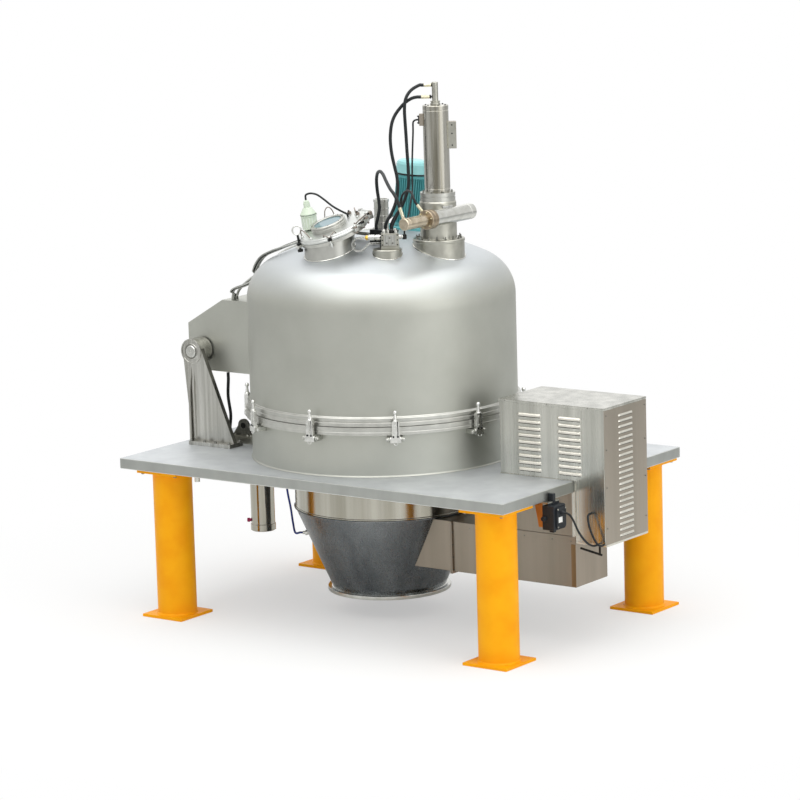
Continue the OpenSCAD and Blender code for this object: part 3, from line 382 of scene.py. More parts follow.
def eased(profile, size):
    """Rounds the corners of a profile of (radius, height) points."""
    points = [Vector(p) for p in profile]
    made = [points[0]]
    for before, corner, after in zip(points, points[1:], points[2:]):
        back, on = before - corner, after - corner
        if back.length < 0.01 or on.length < 0.01 or abs(back.angle(on) - pi) < 0.3:
            made.append(corner)
            continue
        cut = min(size, back.length * 0.45, on.length * 0.45)
        first, last = corner + back.normalized() * cut, corner + on.normalized() * cut
        made += [first, (first + last + corner * 2) / 4, last]
    return [tuple(p) for p in made + [points[-1]]]


def spun(piece, shape, geom, steps, where, finish):
    """Spins a line about Z, all the way round, and adds what it makes."""
    bmesh.ops.spin(shape, geom=geom, cent=(0, 0, 0), axis=(0, 0, 1), angle=tau, steps=steps,
                   use_merge=True)
    join(piece, shape, where, finish)


def turned(piece, profile, where=Matrix(), finish=0, steps=64, ease=1.5):
    """Turns a profile about Z, as a lathe does. A closed profile gives a pipe."""
    shape = bmesh.new()
    points = [shape.verts.new((r, 0, z)) for r, z in eased(profile, ease)]
    edges = [shape.edges.new(pair) for pair in zip(points, points[1:])]
    spun(piece, shape, points + edges, steps, where, finish)


def hoop(piece, where, big, thick, finish=0, steps=40, sides=10):
    """A ring of round bar."""
    shape = bmesh.new()
    bmesh.ops.create_circle(shape, segments=sides, radius=thick / 2,
                            matrix=stand(big / 2, 0) @ about("X", 90))
    spun(piece, shape, shape.verts[:] + shape.edges[:], steps, where, finish)


def rod(piece, start, end, across, finish=0, steps=32, ease=1.5, where=Matrix()):
    """A round bar between two points with eased ends."""
    start, end = where @ Vector(start), where @ Vector(end)
    turned(piece, disc(across / 2, 0, (end - start).length), aim(start, end - start), finish,
           steps, ease)

# %% [markdown]
# Flat parts are sawn from plate or bar. A block is a scaled cube, a plate is one face drawn up,
# and a bolt's head is a six-sided cone. All get a small bevel, since no real edge is quite sharp.
# %% Sawn plate, bar and bolts
def softened(shape, edges, size, segments=2):
    """Rounds edges over."""
    bmesh.ops.bevel(shape, geom=edges, offset=size, offset_type="OFFSET", affect="EDGES",
                    segments=segments, profile=0.5, material=-1, clamp_overlap=True)


def brick(piece, low, high, where=Matrix(), finish=0, ease=2.0, segments=2):
    """A sawn block with all its edges eased."""
    shape = bmesh.new()
    low, high = Vector(low), Vector(high)
    bmesh.ops.create_cube(shape, size=1, matrix=Matrix.Translation((low + high) / 2)
                          @ Matrix.Diagonal(high - low).to_4x4())
    if ease:
        softened(shape, shape.edges[:], ease, segments)
    join(piece, shape, where, finish)


def drawn_up(shape, faces, height):
    """Extrudes faces upward and gives the points of the new faces."""
    grown = bmesh.ops.extrude_face_region(shape, geom=faces)["geom"]
    points = [g for g in grown if isinstance(g, bmesh.types.BMVert)]
    bmesh.ops.translate(shape, verts=points, vec=(0, 0, height))
    return points


def plate(piece, outline, low, high, where=Matrix(), finish=0, ease=1.5):
    """A flat plate cut to an outline of (x, y) points, between two heights."""
    shape = bmesh.new()
    face = shape.faces.new([shape.verts.new((x, y, low)) for x, y in outline])
    drawn_up(shape, [face], high - low)
    if ease:
        softened(shape, [e for e in shape.edges
                         if abs(e.verts[0].co.z - e.verts[1].co.z) < 0.01], ease)
    join(piece, shape, where, finish)


def hexagon(piece, where, across, height, finish=0):
    """A hexagon head or nut with its corners turned off."""
    shape = bmesh.new()
    r, flat = across / sqrt(3), height * 0.82
    bmesh.ops.create_cone(shape, cap_ends=True, segments=6, radius1=r, radius2=r, depth=flat,
                          matrix=stand(0, 0, flat / 2))
    top = [f for f in shape.faces if f.normal.z > 0.9]
    bmesh.ops.scale(shape, verts=drawn_up(shape, top, height - flat), vec=(0.84, 0.84, 1))
    bmesh.ops.delete(shape, geom=top, context="FACES_ONLY")
    join(piece, shape, where, finish)


def bolt(piece, foot, way, size=12, finish=0, stud=0, where=Matrix()):
    """A washer, a hexagon head and, on a stud, the end of its thread."""
    there = aim(where @ Vector(foot), where.to_3x3() @ Vector(way))
    turned(piece, disc(size, 0, size * 0.15), there, finish, 16, 0.6)
    hexagon(piece, there @ stand(0, 0, size * 0.15), size * 1.5, size * 0.7, finish)
    if stud:
        rod(piece, UP * size * 0.5, UP * (size * 0.85 + stud), size * 0.95, finish, 16, 1, there)

# %% [markdown]
# Wire and hose bend smoothly. A line through a few points is smoothed by the same rule as in the
# construction model, and a ring of points is carried along it without twisting.
# %% Bent bars
def smooth_line(points, steps=6):
    """Points along a smooth line through the given points, as in the construction model."""
    points = [Vector(p) for p in points]
    made = []
    for i in range(len(points) - 1):
        a, b, c, d = (points[min(max(k, 0), len(points) - 1)] for k in (i - 1, i, i + 1, i + 2))
        for j in range(steps):
            t = j / steps
            made.append((2 * b + (c - a) * t + (2 * a - 5 * b + 4 * c - d) * t * t
                         + (3 * b - a - 3 * c + d) * t ** 3) / 2)
    return made + [points[-1]]


def course(line, i):
    """Which way a line runs at one of its points."""
    return (line[min(i + 1, len(line) - 1)] - line[max(i - 1, 0)]).normalized()


def lofted(piece, shape, rings, where, finish):
    """Closes the skin between rings of points and at both ends, and adds it."""
    count = len(rings[0])
    for one, two in zip(rings, rings[1:]):
        for k in range(count):
            n = (k + 1) % count
            shape.faces.new((one[k], one[n], two[n], two[k]))
    shape.faces.new(rings[0][::-1])
    shape.faces.new(rings[-1])
    join(piece, shape, where, finish)


def wire(piece, points, across, finish=0, sides=8, steps=6, swell=None):
    """A bent bar of round section. swell gives each ring a factor for its radius."""
    line = smooth_line(points, steps)
    shape = bmesh.new()
    sideways = Vector((0.31, 0.53, 0.79))
    rings = []
    for i, p in enumerate(line):
        way = course(line, i)
        sideways = (sideways - way * sideways.dot(way)).normalized()
        other = way.cross(sideways)
        r = across / 2 * (swell(i) if swell else 1)
        rings.append([shape.verts.new(p + r * (cos(a) * sideways + sin(a) * other))
                      for a in (tau * k / sides for k in range(sides))])
    lofted(piece, shape, rings, Matrix(), finish)
    return line

# %% [markdown]
# Holes are bored with a boolean, which is the nearest thing to a drill. At the end a piece is
# scaled to metres. It stays at the origin and rides on its body of the construction model.
# %% Cutting and finishing
def cut_out(piece, blank, cutter, finish=0):
    """Cuts a shape out of a blank, a small mesh of its own, and adds the rest to the piece."""
    target = placed("target", as_mesh("target", blank))
    tool = placed("tool", as_mesh("tool", cutter))
    cut = target.modifiers.new("cut", "BOOLEAN")
    cut.operation, cut.object, cut.solver = "DIFFERENCE", tool, "EXACT"
    seen = target.evaluated_get(bpy.context.evaluated_depsgraph_get())
    rest, shape = bpy.data.meshes.new_from_object(seen), bmesh.new()
    shape.from_mesh(rest)
    for thing in (target, tool):
        bpy.data.objects.remove(thing)
    bpy.data.meshes.remove(rest)
    join(piece, shape, Matrix(), finish)


def in_metres(name, piece, finishes):
    """The Blender object of a piece, scaled and with its finishes."""
    mesh = as_mesh(name, piece)
    mesh.transform(Matrix.Scale(MM, 4))
    for finish in finishes:
        mesh.materials.append(finish)
    return placed(name, mesh)


def finished(name, piece, finishes, body, stands_for="", sharp=40):
    """Shades a piece, makes its object and lets it ride on its body."""
    made = in_metres(name, piece, finishes)
    made.data.shade_smooth()
    made.data.set_sharp_from_angle(angle=radians(sharp))
    made.modifiers.new("even_shading", "WEIGHTED_NORMAL").keep_sharp = True
    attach(made, body)
    if stands_for:
        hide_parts(stands_for)
    print(name, len(made.data.polygons), "faces")

# %% [markdown]
# The hoses and cables come first, because their routes decide where the rest has room. Each
# runs through the same points as in the construction model. A hose leaves its fitting in line
# with it, bends down under its weight and goes square into the block on the crown.
# %% Places that the cords use
def lead(end, way, step):
    """Three points in line, from a cord's end outward."""
    return [Vector(end) + Vector(way) * step * k for k in (0, 1, 2)]


def on_crown(*points):
    """Points given from the top of the crown."""
    return [CREST + Vector(p) for p in points]


def over_cover(x, y, lift):
    """A point over the cover's skin, for a place given from the spindle."""
    r = hypot(x, y)
    if r < KNUCKLE_X * CROWN_R / (CROWN_R - KNUCKLE_R):
        way = Vector((x, y, sqrt(CROWN_R ** 2 - r * r))).normalized()
        return Vector((*SPINDLE, CROWN_CENTRE)) + way * (CROWN_R + lift)
    out = Vector((x / r, y / r, 0))
    way = ((r - KNUCKLE_X) * out + UP * sqrt(KNUCKLE_R ** 2 - (r - KNUCKLE_X) ** 2)).normalized()
    return Vector((*SPINDLE, WALL_TOP)) + KNUCKLE_X * out + way * (KNUCKLE_R + lift)


def dome(x, y):
    """Height of the crown's skin above a place."""
    return CROWN_CENTRE + sqrt(CROWN_R ** 2 - (x - SPINDLE[0]) ** 2 - (y - SPINDLE[1]) ** 2)


CREST = Vector((*SPINDLE, APEX))
RAM = Vector((231, -25, 0))
SENSOR = Vector((91, -311, 2160.18))
RIM_TURN, RIM_BACK, RIM_LEAN = -118, 25, 20
RIM = stand(*arc(*MANHOLE, -RIM_BACK, [RIM_TURN])[0], 2186.18, RIM_LEAN, RIM_TURN)
LAMP = RIM @ stand(70, -135, 27, 8 - RIM_LEAN)
MOTOR = stand(-210, 290, dome(-210, 290) - 20, 6, TURN)
ALONG_DRAIN = Vector((cos(radians(207)), sin(radians(207)), 0))
ROTARY_Z = 2262.18
print("lamp stands", round(LAMP.translation.z), "mm above the floor")

# %% [markdown]
# A route is its fittings' ends with the free points between them, where the photograph shows the
# hose to pass. The thickness comes first. Points on the crown are given from its top.
# %% The routes of the cords
def arrive(end, way, step):
    """Three points in line that end where a cord goes in."""
    return lead(end, way, step)[::-1]


def into_block(x, y, step=12):
    """The end of a hose that goes upright into the block on the crown."""
    return arrive(CREST + Vector((x, y, 46)), UP, step)


def through(*points):
    """Points of a route in the machine's own frame."""
    return [Vector(p) for p in points]


HIGH_PORT, LOW_PORT, CABLE_PORT = APEX + 828, APEX + 764, APEX + 641
HIGH_END = RAM + UP * HIGH_PORT + LEFT * 60
LOW_END = RAM + UP * LOW_PORT + LEFT * 76
END_FOOT, RING_FOOT = through((331, -467, ROTARY_Z), (331, -255, ROTARY_Z))
END_FIT, RING_FIT = through((309, -485, 2354.18), (281, -288, 2344.18))
END_WAY, RING_WAY = (END_FIT - END_FOOT).normalized(), (RING_FIT - RING_FOOT).normalized()
TUBE_END = SENSOR + LEFT * 120
DRAIN_END = Vector((*SPINDLE, 430)) + ALONG_DRAIN * 487.2
ROUTES = {
    "hose_ram_upper": (18, lead(HIGH_END, LEFT, 12) + on_crown(
        (325, -101, 808), (308, -122, 780), (299, -134, 746), (295, -137, 699), (294, -134, 644),
        (291, -124, 560), (293, -122, 478), (296, -120, 396), (296, -118, 325), (290, -117, 270),
        (274, -127, 210), (254, -148, 154), (232, -174, 106)) + into_block(218, -184)),
    "hose_ram_lower": (18, lead(LOW_END, LEFT, 12) + on_crown(
        (316, -99, 757), (286, -117, 735), (260, -131, 705), (239, -148, 669), (228, -164, 627),
        (223, -173, 573), (221, -173, 519), (225, -168, 453), (235, -158, 381), (242, -150, 326),
        (243, -150, 261), (238, -160, 200), (224, -181, 141), (207, -201, 100))
        + into_block(198, -209)),
    "hose_rotary_end": (18, lead(END_FIT, END_WAY, 12) + on_crown(
        (482, -491, 268), (458, -482, 292), (423, -463, 312), (361, -414, 346), (299, -355, 371),
        (250, -315, 381), (205, -278, 364), (172, -244, 322), (154, -216, 264), (150, -200, 207),
        (150, -196, 160), (143, -201, 114)) + into_block(132, -205)),
    "hose_rotary_ring": (13, lead(RING_FIT, RING_WAY, 8) + on_crown(
        (453, -293, 243), (435, -281, 264), (392, -253, 275), (335, -218, 256), (300, -194, 225),
        (281, -180, 178), (264, -182, 134), (248, -195, 94)) + into_block(240, -206, 8)),
    "cable_ram": (10, lead(RAM + UP * CABLE_PORT + LEFT * 96, LEFT, 4) + on_crown(
        (329, -92, 638), (323, -96, 631), (321, -98, 620), (320, -98, 575), (317, -101, 504),
        (313, -103, 423), (311, -105, 325), (318, -116, 260), (327, -144, 209), (337, -180, 143),
        (348, -224, 92), (356, -250, 60)) + [SENSOR + UP * 14 - LEFT * 95]),
    "tube_sensor": (12, lead(TUBE_END, LEFT, 6) + [TUBE_END + p for p in through(
        (-34, -26, -2), (-50, -38, -18), (-56, -42, -42), (-46, -35, -64), (-26, -22, -72),
        (-6, -10, -64), (8, 6, -44), (22, 16, -32))]
        + arrive(SENSOR - UP * 34 + LEFT * 34 + SIDE * 14, LEFT, 6)),
    "cable_lamp": (11, [LAMP @ Vector((0, 0, 160))] + on_crown(
        (-207, -388, 236), (-191, -380, 246), (-168, -370, 246), (-140, -365, 238),
        (-106, -354, 214), (-70, -330, 178), (-44, -299, 152))
        + [RIM @ Vector((-118, -25, z)) for z in (41, 34, 27)]),
    "hose_arm": (18, lead((*FITTING, 956), UP, 15) + through(
        (-1143, -188, 1058.9), (-1157, -188, 1161.8)) + arrive((*FITTING, 1299), -UP, 20)),
    "hose_drain": (12, through(
        (-745, -206, DECK_LOW), (-744, -206, 760), (-740, -204, 660), (-718, -206, 560),
        (-694, -220, 478)) + [DRAIN_END + ALONG_DRAIN * 44 - UP, DRAIN_END + ALONG_DRAIN * 16,
                              DRAIN_END]),
    "cable_switch": (12, lead((1291, -435, 780), (1, 0, 0), 7) + through(
        (1322, -429, 769), (1331, -408, 733), (1332, -362, 664), (1338, -302, 601),
        (1346, -254, 574)) + arrive((1352, -210, 572), (0, -1, 0), 8)),
    "cable_guard": (12, lead((1308, -210, 736), (0, -1, 0), 8) + through(
        (1312, -244, 724), (1324, -254, 684), (1342, -254, 636), (1362, -250, 596),
        (1376, -241, 577)) + arrive((1384, -210, 572), (0, -1, 0), 8)),
    "cable_motor": (16, [MOTOR @ Vector((x, 100, 115)) for x in (-45, -53, -61)]
        + through((-360, 294, 2152.18))
        + [over_cover(x, y, 12) for x, y in (
            (-240, 250), (-330, 160), (-430, 60), (-520, 0), (-600, -40), (-650, -66),
            (-690, -84), (-712, -93))]
        + through((-950, -112, 1881), (-1008, -134, 1838), (-1055, -143, 1800),
                  (-1086, -145, 1768)) + arrive((-1100, -144, 1721), UP, 8)),
    "hose_harness": (36, lead((-85, -200, 2140.18), (-1, 0, 0), 14)
        + [over_cover(x, y, 22) for x, y in (
            (30, -196), (-110, -176), (-230, -196), (-320, -235), (-400, -290), (-450, -308),
            (-510, -300), (-600, -262), (-670, -228), (-712, -210))]
        + through((-928, -204, 1829), (-972, -200, 1811), (-1020, -196, 1795),
                  (-1065, -194, 1780), (-1087, -193, 1763)) + arrive((-1096, -192, 1721), UP, 8)),
}
BODY_OF_CORD = {"cable_lamp": "lid", "hose_arm": "base", "hose_drain": "base",
                "cable_switch": "base", "cable_guard": "base"}
print("cords:", len(ROUTES))

# %% [markdown]
# A plain hose is a Blender curve with a round bevel, which keeps its true thickness at every
# bend. It is a line with a width, so it stays light and easy to change.
# %% Plain hoses, cables and tubes
FINISH_OF_CORD = {"hose_drain": blue_tube, "tube_sensor": clear_tube}
WORKED = ("cable_motor", "hose_harness")


def declare(piece, name):
    """Rides a cord on its body and hides the cord's node in the construction model."""
    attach(piece, BODY_OF_CORD.get(name, "cover"))
    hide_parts(name)


for name, (across, route) in ROUTES.items():
    if name in WORKED:
        continue
    line = smooth_line(route)
    curve = bpy.data.curves.new(name + "_line", "CURVE")
    curve.dimensions, curve.use_fill_caps = "3D", True
    curve.bevel_depth, curve.bevel_resolution = across / 2 * MM, 4
    spline = curve.splines.new("POLY")
    spline.points.add(len(line) - 1)
    for point, place in zip(spline.points, line):
        point.co = (*(place * MM), 1)
    spline.use_smooth = True
    curve.materials.append(FINISH_OF_CORD.get(name, hose_rubber))
    declare(placed(name + "_run", curve), name)

# %% [markdown]
# Two runs are more than a plain tube. The metal hose from the motor is wound from a strip, so
# its radius steps in and out along its length. The loom is five hoses lying side by side.
# %% Spiral conduit and the loom
across, route = ROUTES["cable_motor"]
conduit = bmesh.new()
fine = wire(conduit, smooth_line(route, 3), across, sides=12, steps=7,
            swell=lambda i: 1 if i % 2 else 0.86)
declare(in_metres("cable_motor_run", conduit, [conduit_steel]), "cable_motor")

across, route = ROUTES["hose_harness"]
middle = smooth_line(route, 4)
STRANDS = ((-15, -11, 10), (-5, -12, 11), (5, -12, 11), (15, -11, 10), (1, -4, 8))
RUBBER_STRAND = 2
loom = bmesh.new()
for k, (sideways, lift, thick) in enumerate(STRANDS):
    strand = []
    for i, p in enumerate(middle):
        way = course(middle, i)
        upright = abs(way.z) >= 0.9
        beside = Vector((0, 1, 0)) if upright else Vector((-way.y, way.x, 0)).normalized()
        wander = 1.2 * sin(i * 0.55 + k * 1.9)
        strand.append(p + beside * (sideways + wander) + way.cross(beside) * -(lift + wander * 0.6))
    wire(loom, strand, thick, 0 if k == RUBBER_STRAND else 1, 8, 1)
declare(in_metres("hose_harness_run", loom, [hose_rubber, conduit_steel]), "hose_harness")

# %% [markdown]
# The deck is one thick plate. Its edges are only broken with a file, and the brighter lid steel on
# these narrow faces paints the thin line of light they catch. Two holes go through it, one for the
# product and one for the lift rod.
# %% Deck plate
OUTLET_R, LIFT_HOLE_R = 508, 32
deck, blank, holes = bmesh.new(), bmesh.new(), bmesh.new()
brick(blank, (-1400, -870, DECK_LOW), (1200, 870, DECK_TOP), ease=4)
turned(holes, disc(OUTLET_R, 800, 950), AXIS, steps=96, ease=0)
turned(holes, disc(LIFT_HOLE_R, 800, 950), stand(*LIFT), ease=0)
cut_out(deck, blank, holes)
# Upright sides take the ground edge. The sloping broken edges take the brighter steel: a painted
# highlight.
for face in deck.faces:
    if abs(face.normal.z) < 0.95:
        face.material_index = 1 if abs(face.normal.z) < 0.3 else 2
finished("deck_plate_blasted", deck, [blasted_plate, ground_edge, bright_rim], "base",
         "deck_plate")

# %% [markdown]
# Each column is a pipe between two square flanges. The weld beads where they meet soften the
# corner, and four bolts hold the head flange to the deck from below.
# %% Columns
COLUMN_X, COLUMN_Y = {"hinge": -1150, "drive": 1047}, {"front": -717, "back": 717}
FLANGE, BOLTS_AT = 140, (-116, 116)
for name in ("front_hinge", "front_drive", "back_hinge", "back_drive"):
    column, foot, anchors = bmesh.new(), bmesh.new(), bmesh.new()
    end, row = name.split("_")[1], name.split("_")[0]
    x, y = COLUMN_X[end], COLUMN_Y[row]
    where = stand(x, y)
    brick(column, (-FLANGE, -FLANGE, 824), (FLANGE, FLANGE, DECK_LOW), where, ease=1.5)
    brick(foot, (-FLANGE, -FLANGE, 0), (FLANGE, FLANGE, 16), where, ease=1.5)
    turned(column, [(0, 14), (119, 14), (117, 18), (112, 22), (110, 26), (110, 814), (112, 818),
                    (117, 822), (119, 826), (0, 826)], where, steps=96, ease=1)
    for i in BOLTS_AT:
        for j in BOLTS_AT:
            rod(anchors, (x + i, y + j, -10), (x + i, y + j, 30), 22, ease=0)
            bolt(column, (x + i, y + j, 824), (0, 0, -1), 11, finish=1)
    cut_out(column, foot, anchors)
    finished("column_%s_painted" % name, column, [column_enamel, plain_bolt], "base",
             "column_" + name)

# %% [markdown]
# The casing is a rolled shell with a heavy ring at its joint. It is turned here as one closed
# profile. A small bead runs round its foot, where it is welded to the deck.
# %% Casing, its ring and the ears of the clamps
CLAMPS = [-14 - a for a in (0, 35.5, 70, 104, 144, 180, 216, 252, 288, 324)]


def at_clamp(angle):
    """A clamp's place: X points outward and the pin is at the origin."""
    return stand(*SPINDLE, 1115, 0, angle) @ stand(792, 0)


EAR = [(-54, -13), (0, -13), *arc(0, 0, 13, range(-70, 90, 20)), (0, 13), (-54, 13)]
casing = bmesh.new()
turned(casing, pipe(735, 743, 900, 1140), AXIS, steps=160, ease=0)
turned(casing, [(742, 901), (749, 901), (748, 903), (744, 907), (742, 911), (742, 901)], AXIS,
       steps=160, ease=0)
turned(casing, [(735, 1130), (743, 1130), (747, 1134), (772, 1134), (772, 1150), (770, 1152),
                (772, 1154), (772, 1178), (735, 1178), (735, 1130)], AXIS, 2, 160)
for angle in CLAMPS:
    where = at_clamp(angle)
    for low, high in ((33, 43), (-43, -33)):
        plate(casing, EAR, low, high, where @ ON_SIDE)
    rod(casing, (0, -49, 0), (0, 49, 0), 14, 1, 16, where=where)
    for side in (-1, 1):
        rod(casing, (0, side * 43.5, 0), (0, side * 46, 0), 20, 1, 16, 0.6, where)
finished("casing_shell", casing, [blasted_shell, bright_casting, satin_rim], "base", "lower_casing")

# %% [markdown]
# The swing clamps are small bright castings. Each has a yoke on the pin, a flat lever with a
# slot beside it, a tapered handle and a ball. A dark bar fills the slot as its painted shade. One
# clamp is drawn and put at ten places.
# %% Swing clamps
YOKE = [(-32, -14), (-28, -17), (28, -17), (32, -14), (25, 14), (22, 17), (-22, 17), (-25, 14)]
LEVER = [(-17, 14), (10, 14), (11, 60), (9, 100), (-17, 100), (-20, 92), (-20, 24)]
STRAP = [(14, 14), (22, 18), (22, 96), (19, 101), (14, 101)]
HANDLE = [(0, 98), (15, 98), (15, 103), (11, 106), (9, 116), (6.2, 138), (0, 138)]
BALL = [(0, 136), *arc(0, 148, 12, range(-75, 90, 15)), (0, 160)]
for number, angle in enumerate(CLAMPS, 1):
    clamp, where = bmesh.new(), at_clamp(angle)
    for outline, low, high in ((YOKE, -9, 16), (LEVER, -8, 14), (STRAP, -6, 16)):
        plate(clamp, outline, low, high, where @ ACROSS)
    rod(clamp, (2, -31, 2), (2, 31, 2), 27, 0, 32, 2, where)
    # A dark oxide bar fills the slot between lever and strap: painted shade of the slot.
    brick(clamp, (-7, 9, 18), (9, 15, 98), where, 1, 0.5)
    brick(clamp, (13.5, -13, 26), (16, 3, 92), where, 0, 1)
    for z in (36, 82):
        rod(clamp, (14, -5, z), (18.5, -5, z), 9, 0, 12, 0.8, where)
    for y in (-12, 12):
        rod(clamp, (10, y, 17), (17.2, y, 17), 11, 1, 16, 0.4, where)
    hoop(clamp, where @ stand(13, 0, -18, 90), 22, 5, 0, 24, 8)
    turned(clamp, HANDLE, where @ stand(4, 0), steps=24)
    turned(clamp, BALL, where @ stand(4, 0), steps=24, ease=0)
    finished("clamp_%d_cast" % number, clamp, [bright_casting, dark_oxide], "clamp_%d" % number,
             "clamp_%d" % number)

# %% [markdown]
# The cover is a dished head. Its outside is an upright wall, a knuckle of 240 mm and a crown of
# 1400 mm, drawn here point by point on those arcs and turned. The manhole is cut out of it.
# %% Cover shell
RING_LOW = 1180


def head_line(inset):
    """The cover's profile, moved inward by its thickness."""
    edge = asin(KNUCKLE_X / (CROWN_R - KNUCKLE_R))
    knuckle, crown = KNUCKLE_R - inset, CROWN_R - inset
    line = [(COVER_R - inset, RING_LOW), (COVER_R - inset, 1500)]
    for k in range(25):
        a = (pi / 2 - edge) * k / 24
        line.append((KNUCKLE_X + knuckle * cos(a), WALL_TOP + knuckle * sin(a)))
    for k in range(1, 21):
        a = edge * (1 - k / 20)
        line.append((crown * sin(a), CROWN_CENTRE + crown * cos(a)))
    return line


cover, blank, neck_hole = bmesh.new(), bmesh.new(), bmesh.new()
turned(blank, head_line(0) + head_line(8)[::-1] + [(COVER_R, RING_LOW)], AXIS, steps=192, ease=0)
turned(neck_hole, disc(129, 1900, 2400), stand(*MANHOLE), ease=0)
cut_out(cover, blank, neck_hole)
finished("cover_shell_dished", cover, [blasted_cover], "cover", "cover_shell", sharp=60)

ring = bmesh.new()
turned(ring, [(746, 1180), (762, 1180), (762, 1199), (759, 1201), (759, 1206), (762, 1208),
              (762, 1224), (759, 1228), (749, 1228), (746, 1233), (744, 1233), (744, 1182),
              (746, 1180)], AXIS, steps=160, ease=1)
finished("cover_ring_turned", ring, [satin_rim], "cover", "cover_ring")

# %% [markdown]
# Under the deck hang a short skirt and the outlet cone. The cone's lower flange is turned and
# drilled for the chute. The cone is open, so its wall is a closed profile of 8 mm sheet.
# %% Skirt and cone
skirt = bmesh.new()
turned(skirt, [(508, 609), (520, 609), (520, 616), (516, 618), (516, 832), (522, 840), (508, 840),
               (508, 609)], AXIS, steps=128)
turned(skirt, pipe(509, 523, 607, 610), AXIS, 1, 128, 0.5)
finished("outlet_skirt_sheet", skirt, [mirror_sheet, dark_oxide], "base", "outlet_skirt")

cone, blank, belt_window = bmesh.new(), bmesh.new(), bmesh.new()
turned(blank, [(312, 136), (320, 136), (321, 150), (516, 604), (522, 604), (522, 607), (508, 607),
               (312, 144), (312, 136)], AXIS, steps=128, ease=0)
brick(belt_window, (-190, -211, BELT_LOW), (1210, 95, BELT_TOP), ease=0)
cut_out(cone, blank, belt_window)
flange, flange_holes = bmesh.new(), bmesh.new()
turned(flange, [(312, 124), (346, 124), (346, 144), (324, 144), (320, 148), (312, 148), (312, 124)],
       AXIS, steps=128, ease=2)
for p in circle(12, 334, 0, 15):
    rod(flange_holes, p + UP * 110, p + UP * 160, 12, 0, 16, 0, AXIS)
cut_out(cone, flange, flange_holes, 1)
foot = Vector((*SPINDLE, 430)) + ALONG_DRAIN * 428
rod(cone, foot, foot + ALONG_DRAIN * 40, 24, 1)
hexagon(cone, aim(foot + ALONG_DRAIN * 34, ALONG_DRAIN), 26, 12, 1)
rod(cone, foot + ALONG_DRAIN * 44, DRAIN_END, 18, 1)
finished("outlet_cone_sheet", cone, [cone_sheet_painted_reflection, ground_rod], "base", "outlet_cone")

# %% [markdown]
# The arm is a welded box that ends at the cover's round wall. Its end is cut by the same
# cylinder, so the two meet all the way round. Its plates are flat, and its edges are dressed.
# %% Cover arm
arm, blank, wall_cut = bmesh.new(), bmesh.new(), bmesh.new()
plate(blank, [(-1407, 1307), (-690, 1307), (-690, 1721), (-1152, 1721), (-1407, 1573)], -218, 218,
      ON_SIDE, ease=3)
turned(wall_cut, disc(742, 1200, 1800), AXIS, steps=160, ease=0)
rod(wall_cut, (HINGE_X, -400, HINGE_Z), (HINGE_X, 400, HINGE_Z), 74, ease=0, steps=64)
cut_out(arm, blank, wall_cut)
finished("cover_arm_welded", arm, [blasted_shell], "cover", "cover_arm")

# %% [markdown]
# A hinge bracket is a thick cheek with a round head, a boss toward the arm, a foot plate and a
# rib. The pin's end shows in the head, inside a thin ring. The back bracket is its mirror.
# %% Hinge brackets and pin
BOSS = [(37, 0), (72, 0), (72, 105), (64, 105), (62, 101), (46, 101), (44, 104), (37, 104), (37, 0)]
CHEEK = [(-1316, 922), (-1014, 922), *arc(HINGE_X, HINGE_Z, 72, range(15, 215, 11))]
BUSH = [(37, 327), (43, 327), (43, 331), (41, 333), (37, 333), (37, 327)]
for name, side in (("front", 1), ("back", -1)):
    bracket, flip = bmesh.new(), Matrix.Diagonal((1, side, 1, 1))
    outward = (0, -side, 0)
    turned(bracket, BOSS, aim((HINGE_X, -228 * side, HINGE_Z), outward), steps=96)
    plate(bracket, CHEEK, 298, 328, flip @ ON_SIDE, ease=2)
    brick(bracket, (-1308, -373, DECK_TOP), (-1008, -253, 922), flip, ease=2)
    # Sides of the cheek and foot that face +X take the darker edge finish: painted shade.
    for face in bracket.faces:
        if face.normal.x > 0.6 and abs(face.calc_center_median().y) > 296:
            face.material_index = 2
    plate(bracket, [(-326, 922), (-352, 922), (-350, 1180), (-326, 1362)], -1316, -1304,
          flip @ ACROSS)
    plate(bracket, [(-327, 922), (-336, 922), (-336, 1240), (-327, 1320)], -1298, -1284,
          flip @ ACROSS, ease=1.2)
    for profile in (BUSH, pipe(56, 58, 327, 328.8)):
        turned(bracket, profile, aim((HINGE_X, 0, HINGE_Z), outward), 2, 64, 0.3)
    for x in (-1296, -1200, -1120, -1022):
        for y in (-362, -266):
            bolt(bracket, (x, y * side, 922), UP, 9, 1, 5)
    finished("hinge_bracket_%s_plate" % name, bracket, [dressed_plate, plain_bolt, shaded_edge],
             "base", "hinge_bracket_" + name)

pin = bmesh.new()
half = [(7, 335), (7, 339), (31, 339), (36, 334)]
turned(pin, [(0, -335), *((r, -z) for r, z in half), *half[::-1], (0, 335)],
       aim((HINGE_X, 0, HINGE_Z), (0, 1, 0)), steps=64)
finished("hinge_pin_ground", pin, [ground_rod], "base", "hinge_pin")

# %% [markdown]
# The lift cylinder hangs under the deck, a bright tube between two end caps. Its rod is ground
# and chromed, so it is the brightest part here. Small fittings stand on the deck beside it.
# %% Lift cylinder, lug, plate fitting, port cap and drain stub
lift = bmesh.new()
turned(lift, [(0, 355), (66, 355), (70, 359), (72.5, 359), (72.5, 395), (69, 397), (69, 790),
              (72.5, 792), (72.5, 838), (0, 838)], stand(*LIFT), steps=96)
rod(lift, (*LIFT, 835), (*LIFT, 1294.5), 60, 1, 64, 2)
turned(lift, [(31, 900.5), (46, 900.5), (46, 909), (40, 916), (31, 916), (31, 900.5)], stand(*LIFT))
finished("lift_cylinder_turned", lift, [mirror_sheet, ground_rod], "base", "lift_cylinder")

